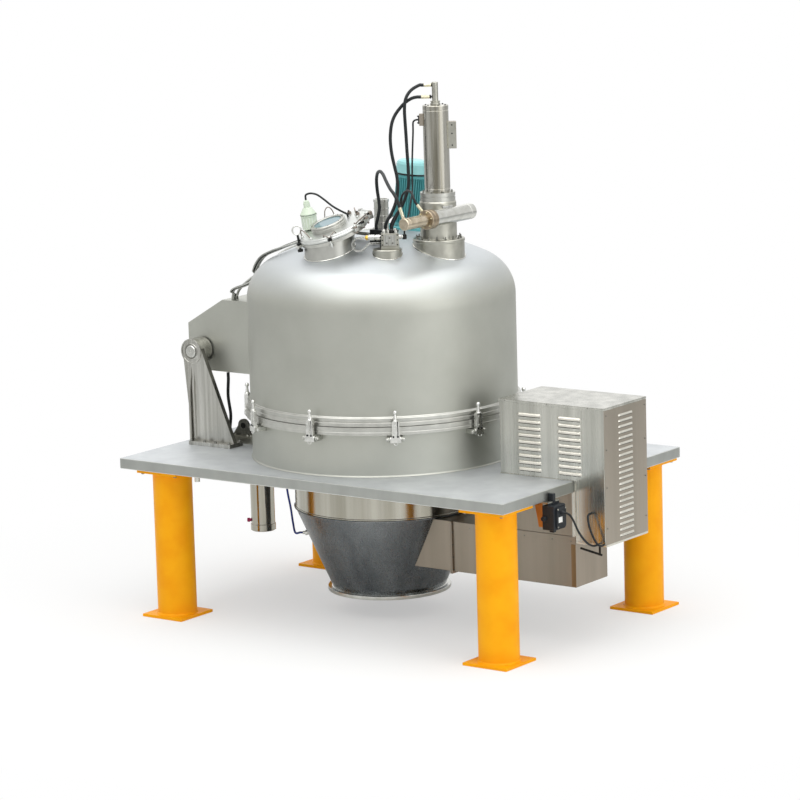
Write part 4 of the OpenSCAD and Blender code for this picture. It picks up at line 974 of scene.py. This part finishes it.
LUG_X, LUG_Z = -1055, 1000
lug = bmesh.new()
brick(lug, (-1135, -210, DECK_TOP), (-980, -150, 944), ease=2, finish=2)
plate(lug, [(-1132, 944), (-984, 944), *arc(LUG_X, LUG_Z, 38, range(-10, 191, 12))], 172, 188,
      ON_SIDE)
rod(lug, (LUG_X, -190, LUG_Z), (LUG_X, -170, LUG_Z), 34, 1, 32, 1)
for x in (-1126, -1104, -1016, -990):
    bolt(lug, (x, -201, 944.5), UP, 7, 2)
finished("pivot_lug_plate", lug, [plain_bolt, dark_oxide, milled_block], "base", "pivot_lug")

fitting = bmesh.new()
hexagon(fitting, stand(*FITTING, DECK_TOP), 38, 18)
turned(fitting, [(0, 916), (14, 916), (14, 930), (11, 932), (11, 936), (14, 938), (14, 956),
                 (0, 956)], stand(*FITTING), steps=24)
finished("plate_fitting_nut", fitting, [dark_oxide], "base", "plate_fitting")

cap = bmesh.new()
turned(cap, [(0, 69), (9, 69), (9, 76), (12, 76), (12, 88), (10, 92.3), (0, 92.3)],
       aim((*LIFT, 415), LEFT), steps=24)
finished("port_cap_moulded", cap, [magenta_cap], "base", "port_cap")

stub = bmesh.new()
turned(stub, pipe(11, 15, 790, DECK_LOW), stand(-936, -758), steps=32, ease=0.8)
finished("drain_stub_pipe", stub, [ground_rod], "base", "drain_stub")

# %% [markdown]
# The motor's guard is a bent sheet box that stands on the deck and reaches down past its end.
# Its louvers are pressed hoods, lighter as a painted highlight, with a dark strip beneath each as
# the painted shade of the open slot. One hood is drawn as a half-round blister and is repeated in
# columns. Thin raised lines show where the sheets overlap.
# %% Motor guard
HOOD = [(0, 11), (2.6, 9.8), (6.4, 5.8), (9, 0.6), (10.2, -4), (10.2, -7), (9, -7), (0, -7)]


def hood(piece, where, long=150, deep=1.0, tall=1.0):
    """A pressed louver hood. Y is along it, X outward and Z up, round its own middle."""
    shape, half = bmesh.new(), long / 2
    steps = ((-half, 0.02), (-half + 7, 0.8), (-half + 12, 1), (half - 12, 1), (half - 7, 0.8),
             (half, 0.02))
    ends = [[shape.verts.new((x * f * deep, y, tall * (z if f > 0.6 else z * 0.75 - 1.5)))
             for x, z in HOOD] for y, f in steps]
    # The hood's face takes finish 3, the guard's lighter pressed sheet: a painted highlight on the
    # hood.
    lofted(piece, shape, ends, where, 3)
    # A dark oxide strip under the hood stands for its open slot: painted shade.
    brick(piece, (0.2, -half + 6, -13 * tall), (1.0, half - 6, -6.6 * tall), where, 2, 0)


FRONT_Y, END_X, GUARD_TOP = 208, 1400, 1308
guard, blank, window = bmesh.new(), bmesh.new(), bmesh.new()
plate(blank, [(730, DECK_TOP), (1200, DECK_TOP), (1200, 560), (END_X, 560), (END_X, GUARD_TOP),
              (730, GUARD_TOP)], -FRONT_Y, FRONT_Y, ON_SIDE, ease=7)
for x in (925, 1180):
    for k in range(9):
        hood(guard, stand(x, -208.5, 1235 - 37 * k, turn=-90), tall=0.9)
for k in range(22):
    hood(guard, stand(1400.6, 0, 1250 - 31 * k), 140, 0.6, 0.66)
brick(guard, (727, -211, 1296), (1401, 211, 1310), ease=2.5)
brick(guard, (731, -211.5, 900.5), (1196, -207, 904), ease=0.8)
plate(guard, [(840, 908), (1216, 908), (1258, 950), (1258, 1290), (840, 1290)], 207.5, 209.5,
      ON_SIDE, ease=0.6)
# The guard's end face takes the side sheet: painted shade on the side turned from the light.
brick(guard, (1399, -208, 566), (1401.2, 208, 1296), ease=0.6, finish=1)
brick(guard, (1200.5, -214, 604), (1214, -207, 884), ease=1.0)
# The two bottom hems take the lighter pressed sheet: a painted highlight along the folded edge.
brick(guard, (1214, -210.5, 563), (1401.5, -208, 575), ease=0.8, finish=3)
brick(guard, (1399, -206, 561), (1402.4, 206, 572), ease=0.8, finish=3)
for side in (-1, 1):
    for z in (1268, 1084, 880, 660):
        bolt(guard, (1401, side * 190, z), (1, 0, 0), 4.5, 4)
    for x in (770, 1040, 1300):
        bolt(guard, (x, side * 211, 1303), (0, side, 0), 3, 4)
for x in (760, 900, 1040, 1170):
    bolt(guard, (x, 210, 930), (0, 1, 0), 4.5, 4)
brick(window, (600, -212, 300), (1209, 96, BELT_TOP), ease=0)
cut_out(guard, blank, window)
rod(guard, (1236, -205, 540), (1372, -205, 516), 12, 2, 20)
brick(guard, (1352, -207.5, 512), (1364, -202, 575), finish=2, ease=1)
finished("motor_guard_sheet", guard,
         [rolled_sheet, side_sheet, dark_oxide, pressed_sheet_painted_highlight, plain_bolt], "base", "motor_guard")

# %% [markdown]
# The belt's guard is a long sheet box under the deck with a round end below the spindle. A
# flanged seam joins its two halves, and its cover plate overlaps the lower part.
# %% Belt guard
belt = bmesh.new()
plate(belt, [(1208.5, -211), (1208.5, 95), (-190, 95), (-190, -211)], BELT_LOW, BELT_TOP, ease=3)
turned(belt, disc(149, BELT_LOW, BELT_TOP), AXIS)
for low, high in ((390, 397.6), (398.4, 406)):
    brick(belt, (low, -223, 308), (high, 107, BELT_TOP), ease=1.2)
brick(belt, (410, -212.6, 557), (1206, -209, 598), ease=0.8)
brick(belt, (1206, -205, 557), (1210, 89, 598), ease=0.8)
brick(belt, (780, -207, 596), (1206, -201, DECK_LOW), ease=1)
brick(belt, (1190, -212, 596), (1207, -206, 838), finish=2, ease=1)
# The corner strip takes the brown finish: a painted reflection of the yellow column.
brick(belt, (1180, -213, 321), (1208.5, -210, 556), finish=3, ease=1)
for z in (330, 400, 470, 540, 585):
    for x, way in ((390, -1), (406, 1)):
        for y in (-217.5, 101.5):
            bolt(belt, (x, y, z), (way, 0, 0), 4, 1)
for x in (520, 700, 880, 1060, 1180):
    bolt(belt, (x, -212.5, 572), (0, -1, 0), 3.5, 1)
finished("belt_guard_sheet", belt, [belt_sheet, plain_bolt, rolled_sheet, painted_column_reflection], "base",
         "belt_guard")

# %% [markdown]
# The vibration switch is a moulded case on a bent angle. Its body has a raised front with a plain
# pale plate, and one cable leaves through a ribbed gland. A second gland is closed.
# %% Vibration switch
switch = bmesh.new()
brick(switch, (1140, -495, 832), (1229, -390, DECK_LOW), ease=1, finish=1)
plate(switch, [(-495, 836), (-390, 836), (-390, 740), (-410, 720), (-475, 720), (-495, 740)],
      1221, 1229, ACROSS, 0, 1)
# The bracket plate takes the darkened enamel: painted shade under the deck.
plate(switch, [(1140.5, 833), (1190, 833), (1190, 704), (1166, 704)], 488, 494, ON_SIDE, 3, 0.8)
brick(switch, (1188, -494.5, 690), (1264, -384, 822), ease=5)
brick(switch, (1196, -456, 820), (1231, -428, 832), ease=3)
brick(switch, (1203, -454, 832), (1232, -428, 880), ease=3)
brick(switch, (1204, -452, 670), (1232, -428, 694), ease=3)
plate(switch, [(-478, 710), (-472, 700), (-398, 700), (-392, 710), (-392, 800), (-400, 810),
               (-470, 810), (-478, 800)], 1258, 1274, ACROSS, 0, 3)
brick(switch, (1272.5, -466, 730), (1274.8, -430, 760), finish=2, ease=0.8)
for y, z in ((-470, 708), (-400, 802), (-470, 802)):
    rod(switch, (1272, y, z), (1275.6, y, z), 9, 1, 12, 0.5)
turned(switch, [(0, 0), (13, 0), (13, 6), (10, 8), (10, 10), (12.5, 12), (12.5, 18), (9, 20),
                (0, 20)], aim((1202, -492, 752), (0, -1, 0)), steps=24, ease=0.8)
turned(switch, [(0, 0), (11, 0), (11, 6), (9.5, 7), (9.5, 9), (11, 10), (11, 14), (7, 20.5),
                (0, 20.5)], aim((1270, -435, 780), (1, 0, 0)), steps=24, ease=0.8)
for y in (-470, -415):
    bolt(switch, (1160, y, 832), (0, 0, -1), 6, 1)
finished("vibration_switch_case", switch, [black_plastic, milled_block, bare_plate, bracket_enamel],
         "base", "vibration_switch")

# %% [markdown]
# The manhole leans toward the front. All that stands on its rim is drawn in the rim's own
# frame, where X points down the slope, and is then put in place with one matrix.
# %% Manhole neck
def weld_round(piece, place, r, finish, thick=8, count=40, beat=2.6):
    """A weld bead on the dome round an upright pipe. beat sets how its ripples follow."""
    around = arc(*place, r, [360 / count * k for k in range(count + 1)])
    wire(piece, [(x, y, dome(x, y) + 1) for x, y in around], thick, finish, steps=2,
         swell=lambda i: 1 + 0.12 * sin(i * beat))


neck = bmesh.new()
turned(neck, pipe(130, 138, 2024, 2400), stand(*MANHOLE), steps=96, ease=0)
bmesh.ops.bisect_plane(neck, geom=neck.verts[:] + neck.edges[:] + neck.faces[:], clear_outer=True,
                       plane_co=RIM @ Vector((0, 0, -6)), plane_no=RIM.to_3x3() @ UP)
bmesh.ops.holes_fill(neck, edges=neck.edges, sides=0)
turned(neck, [(122, -20), (190, -20), (190, 0), (128, 0), (122, -20)], RIM, steps=96)
for side in (-52, 52):
    brick(neck, (-226, side - 8, -20), (-168, side + 8, -3), RIM)
    plate(neck, [(-226, -20), (-200, -20), (-199, 18), (-205, 26), (-221, 26), (-227, 18)],
          side - 8, side + 8, RIM @ ON_SIDE, ease=1)
weld_round(neck, MANHOLE, 139, 1, 9, 48, 2.4)
finished("manhole_neck_rolled", neck, [satin_rim, ground_rod], "cover", "manhole_neck")

# %% [markdown]
# The lid is a turned plate with a stepped edge. Round it sit wire bails, and at the low side a
# long eye bolt holds it shut. The bails are one bent wire each, so a smooth line gives their arch.
# %% Manhole lid with its bails
def on_lid(angle, r, z):
    """A point on the lid, by its angle from the low side and its radius."""
    return Vector((*arc(0, 0, r, [angle])[0], z))


BAILS = ((345, 20, 172, 52), (150, 172, 150, 50), (238, 256, 182, 58))
ARCH = ((0, -0.05), (0.03, 0.5), (0.16, 0.86), (0.4, 1), (0.7, 0.78), (0.88, 0.36), (1, -0.05))
CLIPS = ((5, ((46, 158, 28), (50.2, 182, 40), (59, 200, 22))),
         (5, ((72, 158, 28), (68.4, 182, 40), (59, 200, 22))),
         (7, ((112, 186, 28), (118, 214, 46), (136, 218, 44), (144, 190, 28))))
LID_TOP, LID_EDGE, DARK_NUTS = 27, 203, (122, 160)
lid = bmesh.new()
turned(lid, [(0, 1), (191, 1), (195, 5), (195, 13), (191, 16), (191, 23), (187, LID_TOP),
             (0, LID_TOP)], RIM, steps=96, ease=1)
brick(lid, (-213, -38, 6), (-170, 38, 22), RIM, ease=3)
rod(lid, (-213, -38, 14), (-213, 38, 14), 24, where=RIM)
rod(lid, (-213, -66, 14), (-213, 66, 14), 13, 1, 20, where=RIM)
for side in (-1, 1):
    hexagon(lid, RIM @ aim((-213, side * 62, 14), (0, side, 0)), 20, 9, 1)
for first, last, r, tall in BAILS:
    span = (last - first) % 360
    wire(lid, [RIM @ on_lid(first + span * t, r, LID_TOP + tall * h) for t, h in ARCH], 6, 1,
         steps=4)
    for end in (first, first + span):
        turned(lid, [(0, 26), (8, 26), (8, 34), (5, 37), (0, 37)], RIM @ stand(*on_lid(end, r, 0)),
               0, 16, 1)
for angle in (172, 203):
    hexagon(lid, RIM @ stand(*on_lid(angle, 160, LID_TOP)), 20, 11, 1)
    rod(lid, on_lid(angle, 160, 30), on_lid(angle, 160, 46), 11, 2, 16, where=RIM)
for across, points in CLIPS:
    wire(lid, [RIM @ on_lid(*p) for p in points], across, 1, steps=5)
hexagon(lid, RIM @ stand(*on_lid(59, LID_EDGE, 6)), 22, 15, 2)
rod(lid, on_lid(59, LID_EDGE, 8), on_lid(59, LID_EDGE, -34), 12, 0, 20, where=RIM)
hexagon(lid, RIM @ stand(*on_lid(59, LID_EDGE, -26)), 20, 12, 0)
for angle, tall in ((104, 26), (122, 34), (141, 30), (160, 24)):
    there = RIM @ stand(*on_lid(angle, LID_EDGE, 0), turn=angle)
    brick(lid, (-14, -12, -4), (10, 12, 14), there, 0, 2)
    rod(lid, (0, 0, -16), (0, 0, tall), 11, 1, 16, where=there)
    hexagon(lid, there @ stand(0, 0, 14), 21, 11, 2 if angle in DARK_NUTS else 1)
    turned(lid, [(0, 0), (8, 0), (9, 3), (9, 9), (6, 12), (0, 12)], there @ stand(0, 0, tall - 4),
           0, 20, 1)
for angle in (112, 216, 282):
    bolt(lid, on_lid(angle, 176, LID_TOP), UP, 5, 1, 4, RIM)
finished("manhole_lid_turned", lid, [bright_rim, wire_steel, dark_oxide], "lid", "manhole_lid")

eye, foot = bmesh.new(), RIM @ on_lid(346, 204, -12)
shaft = Vector((-0.12, -0.09, 1)).normalized()
brick(eye, (182, -62, -18), (218, -38, -4), RIM, ease=2)
rod(eye, foot - shaft * 26, foot + shaft * 62, 13, 1, 20)
hexagon(eye, aim(foot + shaft * 8, shaft), 26, 13, 1)
rod(eye, foot - shaft * 30, foot - shaft * 14, 30, 1, 24, 2)
hoop(eye, aim(foot + shaft * 90, (0.55, -0.83, 0.05)), 48, 9)
finished("manhole_eye_bolt", eye, [bright_casting, dark_oxide], "cover")

# %% [markdown]
# The sight glass is a thick turned ring with a pane set below its lip. The lamp is an enamelled
# cap with a dark seam over a ribbed bowl of frosted glass. Both are turned in one profile.
# %% Sight glass and lamp
glass, on_glass = bmesh.new(), RIM @ stand(15, 0)
turned(glass, [(0, 27), (98, 27), (98, 44), (95, 46), (95, 49), (98, 51), (98, 58), (94, 61),
               (80, 61), (77, 58), (77, 52), (0, 52)], on_glass, 0, 96, 1)
turned(glass, disc(76.6, 50, 54), on_glass, 1, 96, 0.5)
for p in circle(8, 88, 61, 20):
    bolt(glass, p, UP, 3, 2, where=on_glass)
finished("sight_glass_ring", glass, [satin_rim, sight_pane, plain_bolt], "lid", "sight_glass")

lamp = bmesh.new()
turned(lamp, [(0, 2), (43, 2), (43, 8), (41, 11), (41, 68), (43, 71), (44, 78), (44, 86), (40, 92),
              (31, 106), (25, 117), (18, 119), (18, 146), (0, 146)], LAMP)
turned(lamp, [(42, 79), (44.6, 79.2), (44.6, 82), (42, 82.2), (42, 79)], LAMP, 1, ease=0)
for k in range(16):
    brick(lamp, (40, -2, 12), (43.4, 2, 67), LAMP @ about("Z", 22.5 * k), 2, 0.8, 1)
turned(lamp, [(0, 144), (15, 144), (15, 156), (8, 160), (0, 160)], LAMP, 0, 32, 1)
for inner, outer in zip(circle(3, 42, 76, 40), circle(3, 47, 76, 40)):
    rod(lamp, inner, outer, 9, 0, 16, 1, LAMP)
finished("sight_lamp_bell", lamp, [lamp_glaze, dark_oxide, lamp_glass], "lid", "sight_lamp")

# %% [markdown]
# On the crown stand a plain nozzle, the sensor block and the block where the hoses meet. Each
# pipe is welded on, so a bead runs round its foot on the dome.
# %% Nozzle, sensor block and hose block
vent, on_vent = bmesh.new(), stand(*VENT)
turned(vent, pipe(33, 40, 2120, 2318), on_vent)
turned(vent, disc(33, 2290, 2312), on_vent, 1)
for z, tall, out in ((2150, 6, 1), (2186, 6, 1), (2222, 8, 2), (2262, 8, 2), (2302, 15, 3)):
    turned(vent, [(39, z), (40 + out, z + 1), (40 + out, z + tall), (39, z + tall + 1), (39, z)],
           on_vent, 1, ease=0)
weld_round(vent, VENT, 41, 0)
finished("vent_nozzle_pipe", vent, [satin_rim, bright_casting], "cover", "vent_nozzle")

STUBS = ((-16, -16, 22, 26, 3), (6, -18, 16, 30, 3), (26, -10, 24, 24, 1), (48, -18, 18, 28, 3),
         (-14, 16, 20, 22, 1), (44, 16, 22, 26, 3))
BLOCK_TOP = 2180
sensor, on_sensor = bmesh.new(), stand(*SENSOR.xy, turn=TURN)
turned(sensor, [(0, 2030), (78, 2030), (78, 2088), (80, 2090), (80, 2094), (76, 2098), (0, 2098)],
       on_sensor, 0, 80, 1)
weld_round(sensor, SENSOR.xy, 79, 3)
brick(sensor, (-34, -36, 2098), (66, 36, 2112), on_sensor, ease=2)
brick(sensor, (-32, -34, 2112), (64, 34, 2184), on_sensor, ease=3)
brick(sensor, (-16, -38, 2118), (46, -33, 2176), on_sensor, 3, 1)
for x in (-25, 56):
    for z in (2122, 2148, 2175):
        bolt(sensor, (x, -34, z), (0, -1, 0), 4, 1, where=on_sensor)
for x, z in ((-2, 2132), (30, 2132), (14, 2160)):
    bolt(sensor, (x, -38, z), (0, -1, 0), 5, 2, where=on_sensor)
for x in (-9, 6, 22, 38):
    brick(sensor, (x, -38.6, 2119), (x + 1.6, -37.5, 2175), on_sensor, 2, 0.3)
for x, y, across, tall, finish in STUBS:
    turned(sensor, [(0, BLOCK_TOP), (across / 2, BLOCK_TOP), (across / 2, BLOCK_TOP + tall * 0.6),
                    (across / 3, BLOCK_TOP + tall), (0, BLOCK_TOP + tall)], on_sensor @ stand(x, y),
           finish, 20, 1)
for z in (2110, 2128, 2146, 2164, BLOCK_TOP):
    for y in (-26, 24):
        bolt(sensor, (-34, y, z), (-1, 0, 0), 5.4, 1, where=on_sensor)
for x in (-20, 54):
    for y in (-28, 28):
        bolt(sensor, (x, y, 2112), UP, 5, 1, where=on_sensor)
port = on_sensor @ stand(0, 0, SENSOR.z, -90)
turned(sensor, [(0, 34), (16, 34), (16, 58), (13, 60), (13, 66), (16, 68), (16, 96), (13, 104),
                (0, 104)], port, 4, 32, 1)
hexagon(sensor, port @ stand(0, 0, 104), 25, 11, 5)
turned(sensor, disc(8, 112, 119.5), port, 5, 20, 0.5)
turned(sensor, [(0, 64), (12, 64), (12, 78), (9, 80), (9, 90), (0, 90)],
       on_sensor @ stand(0, 0, SENSOR.z, 90), 4, 24, 1)
turned(sensor, [(0, -14), (11, -14), (12, -10), (12, 6), (9, 13.5), (0, 13.5)],
       stand(*(SENSOR - LEFT * 95)), 1, 24, 1)
finished("sensor_block_milled", sensor, [milled_block, dark_oxide, plain_bolt, ground_rod,
                                         bright_casting, lathe_brass], "cover", "sensor_stand")

saddle = bmesh.new()
brick(saddle, (-85, -232, 2085), (70, -172, 2182.18), ease=3)
for x, y in ((28, -184), (8, -209), (-58, -205), (50, -206)):
    hexagon(saddle, stand(x, y, 2170), 26, 11.5, 1)
finished("saddle_block_cast", saddle, [hose_rubber, plain_bolt], "cover", "saddle_block")

# %% [markdown]
# The scraper's unit is the tallest part. A wide foot, a neck and two flanges carry the upright
# ram. Studs and nuts stand round each flange, all of one size and evenly spaced.
# %% Scraper base
base, on_ram = bmesh.new(), stand(*RAM)
turned(base, [(0, 1980), (140, 1980), (140, 2112), (142.5, 2115), (142.5, 2126), (139, 2130),
              (101, 2130), (100, 2133), (100, 2328), (96, 2336), (0, 2336)], on_ram, 0, 96, 1)
turned(base, [(0, 2336), (96, 2336), (96, 2356), (90, 2356), (90, 2362), (96, 2362), (96, 2382),
              (0, 2382)], on_ram, 3, 96, 1)
weld_round(base, RAM.xy, 142, 2, 9)
for p in circle(16, 121, 2130, 8):
    bolt(base, p, UP, 7, 1, 12, on_ram)
for p in circle(8, 84, 2382, 12):
    bolt(base, p, UP, 6, 1, 4, on_ram)
    bolt(base, p - UP * 20, -UP, 4, 1, where=on_ram)
finished("scraper_base_turned", base, [milled_block, plain_bolt, ground_rod, satin_rim], "cover",
         "scraper_base")

# %% [markdown]
# The ram is a long drawn barrel with a screwed head. It carries two hose unions, each a dark
# nipple with its nut and a plated sleeve that is pressed on the hose.
# %% Ram with its unions
def union(piece, foot, end, sleeve_from, across):
    """A hose union: a dark nipple with its nut, then the plated sleeve up to the hose."""
    foot, way = Vector(foot), (Vector(end) - Vector(foot)).normalized()
    where, long = aim(foot, way), (Vector(end) - foot).length
    sleeve = [(0, -4), (0.42, -4), (0.5, 0), (0.5, 6), (0.46, 7), (0.46, 9), (0.5, 10)]
    profile = [(across * r, sleeve_from + z) for r, z in sleeve]
    profile += [(across * 0.5, long - 5), (across * 0.46, long - 0.4), (0, long - 0.4)]
    rod(piece, foot, foot + way * sleeve_from, across * 0.52, 2, 20, 0.5)
    hexagon(piece, where @ stand(0, 0, sleeve_from - 13), across * 0.92, 9, 2)
    turned(piece, profile, where, 3, 24, 0.8)


HEAD_TOP = 2856
ram = bmesh.new()
turned(ram, [(0, 2382), (70, 2382), (70, 2400), (69, 2401), (69, 2404), (70, 2405), (70, 2826),
             (69, 2827), (69, 2830), (70, 2831), (70, 2852), (67, HEAD_TOP), (0, HEAD_TOP)],
       on_ram, 0, 96, 1)
turned(ram, [(0, HEAD_TOP), (27, HEAD_TOP), (27, 2866), (24, 2868), (24, 2872), (27, 2874),
             (27, 2878), (17, 2878), (17, 2978), (15, 2980.18), (0, 2980.18)], on_ram, 4, 48, 1)
for p in circle(6, 55, HEAD_TOP, 20):
    bolt(ram, p, UP, 4.5, 2, where=on_ram)
union(ram, RAM + UP * HIGH_PORT, HIGH_END, 24, 20)
union(ram, RAM + UP * LOW_PORT, LOW_END, 34, 20)
turned(ram, [(0, -2), (13, -2), (14, 2), (14, 16), (11, 24), (0, 24)], on_ram @ stand(0, 0, 2955.5),
       2, 24, 1)
finished("scraper_ram_drawn", ram, [drawn_barrel, bright_casting, dark_oxide, yellow_zinc,
                                    milled_block], "cover", "scraper_cylinder")

switches, on_switch = bmesh.new(), stand(*RAM.xy, turn=TURN)
plate(switches, [(62, -20), (110, -20), (110, 20), (62, 20)], 2617.18, 2765.18, on_switch, 0, 3)
brick(switches, (66, -22, 2618.18), (108, -17, 2764), on_switch, 1, 1)
for z in (2636, 2700, 2746):
    rod(switches, (86, -21.5, z), (86, -23.5, z), 8, 2, 12, 0.4, on_switch)
brick(switches, (-90, -12, 2744), (-62, 12, 2810), on_switch, 0, 2)
brick(switches, (-96, -9, 2754), (-88, 9, 2800), on_switch, 2, 1.5)
for z in (2760, 2796):
    rod(switches, (-88, 0, z), (-101, 0, z), 7, 2, 12, 0.6, on_switch)
hexagon(switches, on_switch @ stand(-88, 0, 2777.18, -90), 15, 7.5, 2)
finished("position_switch_housings", switches, [side_sheet, milled_block, dark_oxide], "cover",
         "position_switch")

# %% [markdown]
# The rotary cylinder lies across the neck. A bright barrel runs through, a bronze clamp ring
# holds the thinner front part, and two unions rise from it to the hoses.
# %% Rotary cylinder
rotary, along = bmesh.new(), aim((331, -25, ROTARY_Z), (0, -1, 0))
turned(rotary, [(0, -165), (40, -165), (44, -161), (44, -120), (43, -119), (43, -116), (44, -115),
                (44, 200), (0, 200)], along, 0, 80, 1)
turned(rotary, [(0, 200), (50, 200), (53, 204), (53, 226), (50, 228), (50, 232), (53, 234),
                (53, 256), (50, 260), (0, 260)], along, 1, 80, 1)
turned(rotary, [(0, 258), (33, 258), (33, 430), (31.5, 431), (31.5, 434), (33, 435), (33, 456),
                (30, 460), (0, 460)], along, 2, 64, 1)
for p in circle(6, 42, 260, 15):
    bolt(rotary, p, UP, 5, 3, 5, along)
brick(rotary, (-54, -12, 214), (-44, 12, 246), along, 1, 2)
brick(rotary, (-14, 40, 20), (14, 56, 80), along, 4, 3)
union(rotary, END_FOOT, END_FIT, 44, 18)
union(rotary, RING_FOOT, RING_FIT, 58, 18)
finished("rotary_cylinder_turned", rotary, [ground_rod, warm_bronze, rotary_skin, yellow_zinc,
                                            bright_casting], "cover", "rotary_cylinder")

# %% [markdown]
# The cover's motor stands with its fan up. Its fins are thin upright ribs round a drum, all from
# one rib that is turned to its place. The pale cowl overhangs them, and a dark ring under its lip
# is the painted shadow it throws.
# %% Cover motor
FINS, BEHIND_BOX = 40, range(8, 13)
motor = bmesh.new()
turned(motor, [(0, -30), (115, -30), (115, 44), (110, 50), (0, 50)], MOTOR)
turned(motor, disc(76, 50, 340), MOTOR)
turned(motor, [(0, 50), (88, 50), (88, 66), (80, 70), (0, 70)], MOTOR)
turned(motor, [(0, 318), (84, 318), (86, 322), (86, 336), (0, 336)], MOTOR)
for k in range(FINS):
    if k not in BEHIND_BOX:
        brick(motor, (72, -2.2, 62), (87.6, 2.2, 330), MOTOR @ about("Z", 360 / FINS * k), 0, 1, 1)
turned(motor, [(0, 338), (84, 338), (84, 343), (92, 346), (92, 396), (86, 410), (70, 419),
               (40, 421.6), (0, 422)], MOTOR, 1, 64, 2)
# A dark oxide ring under the cowl's lip: the cowl's painted shadow on the fins.
turned(motor, [(86, 336), (91, 337), (91, 345), (86, 345), (86, 336)], MOTOR, 2, 64, 0.5)
brick(motor, (-45, 60, 65), (45, 128, 165), MOTOR, 0, 4)
brick(motor, (-43, 126, 67), (43, 132, 163), MOTOR, 0, 2)
rod(motor, (-40, 100, 115), (-52, 100, 115), 24, 2, 24, where=MOTOR)
for x in (-34, 34):
    for z in (76, 154):
        bolt(motor, (x, 131, z), (0, 1, 0), 4, 3, where=MOTOR)
for p in circle(8, 100, 48):
    bolt(motor, p, UP, 7, 3, where=MOTOR)
finished("cover_motor_finned", motor, [motor_enamel, cowl_enamel, dark_oxide, plain_bolt], "cover",
         "cover_motor")

# %% [markdown]
# Inside, the basket hangs on its hub over the open floor, and the housing below it carries the
# spindle. They show when the cover is tilted back, so they get the same care in their profile.
# %% Basket and bearing housing
BASKET_LOW, BASKET_TOP = 940, 1420
basket = bmesh.new()
turned(basket, [(615, BASKET_LOW), (625, BASKET_LOW), (625, BASKET_TOP), (515, BASKET_TOP),
                (515, 1408), (615, 1408), (615, BASKET_LOW)], AXIS, 0, 128, 1)
turned(basket, pipe(545, 620, BASKET_LOW, 960), AXIS, 0, 128, 1)
turned(basket, [(0, BASKET_LOW), (265, BASKET_LOW), (265, 960), (178, 962), (60, 1098), (0, 1100)],
       AXIS, 1, 96, 2)
for k in range(4):
    brick(basket, (240, -60, BASKET_LOW), (560, 60, 960), AXIS @ about("Z", 90 * k), 0, 2)
for z in range(990, 1400, 60):
    turned(basket, pipe(624, 625, z, z + 5), AXIS, 1, 128, 0)
finished("basket_drum", basket, [blasted_shell, ground_rod], "base", "basket")

housing = bmesh.new()
turned(housing, [(0, 600), (150, 600), (150, 622), (140, 628), (140, 900), (150, 908),
                 (150, BASKET_LOW), (0, BASKET_LOW)], AXIS, 0, 96, 2)
for p in circle(8, 128, 600.5):
    bolt(housing, p, UP, 1, 1, where=AXIS)
finished("bearing_housing_turned", housing, [milled_block, plain_bolt], "base", "bearing_housing")

# %% [markdown]
# The studio is a pale floor under a wide soft light from above, a weaker one from the right, a
# faint one from behind and an even world. The floor keeps the machine's shadow and turns white
# further out. White is shown only to the camera and to mirror rays, so it adds no light.
# %% Floor, light and background
FLOOR_HALF, NEAR, FAR, WHITE = 60, 1.2, 3.6, (1, 1, 1, 1)
WORLD_COLOUR, WORLD_POWER = (0.97, 0.985, 1, 1), 0.56
ground = bmesh.new()
bmesh.ops.create_grid(ground, x_segments=1, y_segments=1, size=FLOOR_HALF)
floor = placed("floor", as_mesh("floor", ground))
paper, tree, out = bare("pale_studio_paper")
where = add(tree, "TexCoord")
flat = add(tree, "VectorMath", {0: (where, "Object")}, operation="LENGTH")
away = add(tree, "MapRange", {"Value": (flat, "Value"), "From Min": NEAR, "From Max": FAR,
                              "To Min": 0.45, "To Max": 1.0})
rays = add(tree, "LightPath")
seen = add(tree, "Math", {0: (rays, "Is Camera Ray"), 1: (away, "Result")}, operation="MULTIPLY")
matt = add(tree, "BsdfDiffuse", {"Color": linear("efefed")})
white = add(tree, "Emission", {"Color": WHITE, "Strength": 1.0})
both = add(tree, "MixShader", {0: (seen, "Value"), 1: (matt, "BSDF"), 2: (white, "Emission")})
tree.links.new(both.outputs[0], out.inputs[0])
floor.data.materials.append(paper)

world = bpy.data.worlds.new("studio")
world.use_nodes = True
bpy.context.scene.world = world
tree = world.node_tree
tree.nodes.clear()
out = tree.nodes.new("ShaderNodeOutputWorld")
rays = add(tree, "LightPath")
seen = add(tree, "Math", {0: (rays, "Is Camera Ray"), 1: (rays, "Is Glossy Ray")},
           operation="MAXIMUM")
seen = add(tree, "Math", {0: (seen, "Value"), 1: (rays, "Is Transmission Ray")},
           operation="MAXIMUM")
soft = add(tree, "Background", {"Color": WORLD_COLOUR, "Strength": WORLD_POWER})
white = add(tree, "Background", {"Color": WHITE, "Strength": 1.0})
both = add(tree, "MixShader", {0: (seen, "Value"), 1: (soft, "Background"),
                               2: (white, "Background")})
tree.links.new(both.outputs[0], out.inputs[0])


def softbox(name, foot, toward, wide, power):
    """A square lamp that looks at a point, both in metres."""
    lamp = bpy.data.lights.new(name, "AREA")
    lamp.shape, lamp.size, lamp.energy = "SQUARE", wide, power
    made = placed(name, lamp)
    made.location = foot
    made.rotation_euler = (Vector(toward) - Vector(foot)).to_track_quat("-Z", "Y").to_euler()


softbox("light_above", (0.9, -1.4, 8.5), (0.1, -0.2, 1.2), 12.0, 820)
softbox("light_behind", (-5.0, 7.0, 6.8), (-0.1, 0, 1.8), 6.0, 50)
softbox("light_right", (8.0, -1.2, 3.6), (0, 0, 1.2), 6.0, 130)
print("lamps:", len(bpy.data.lights))
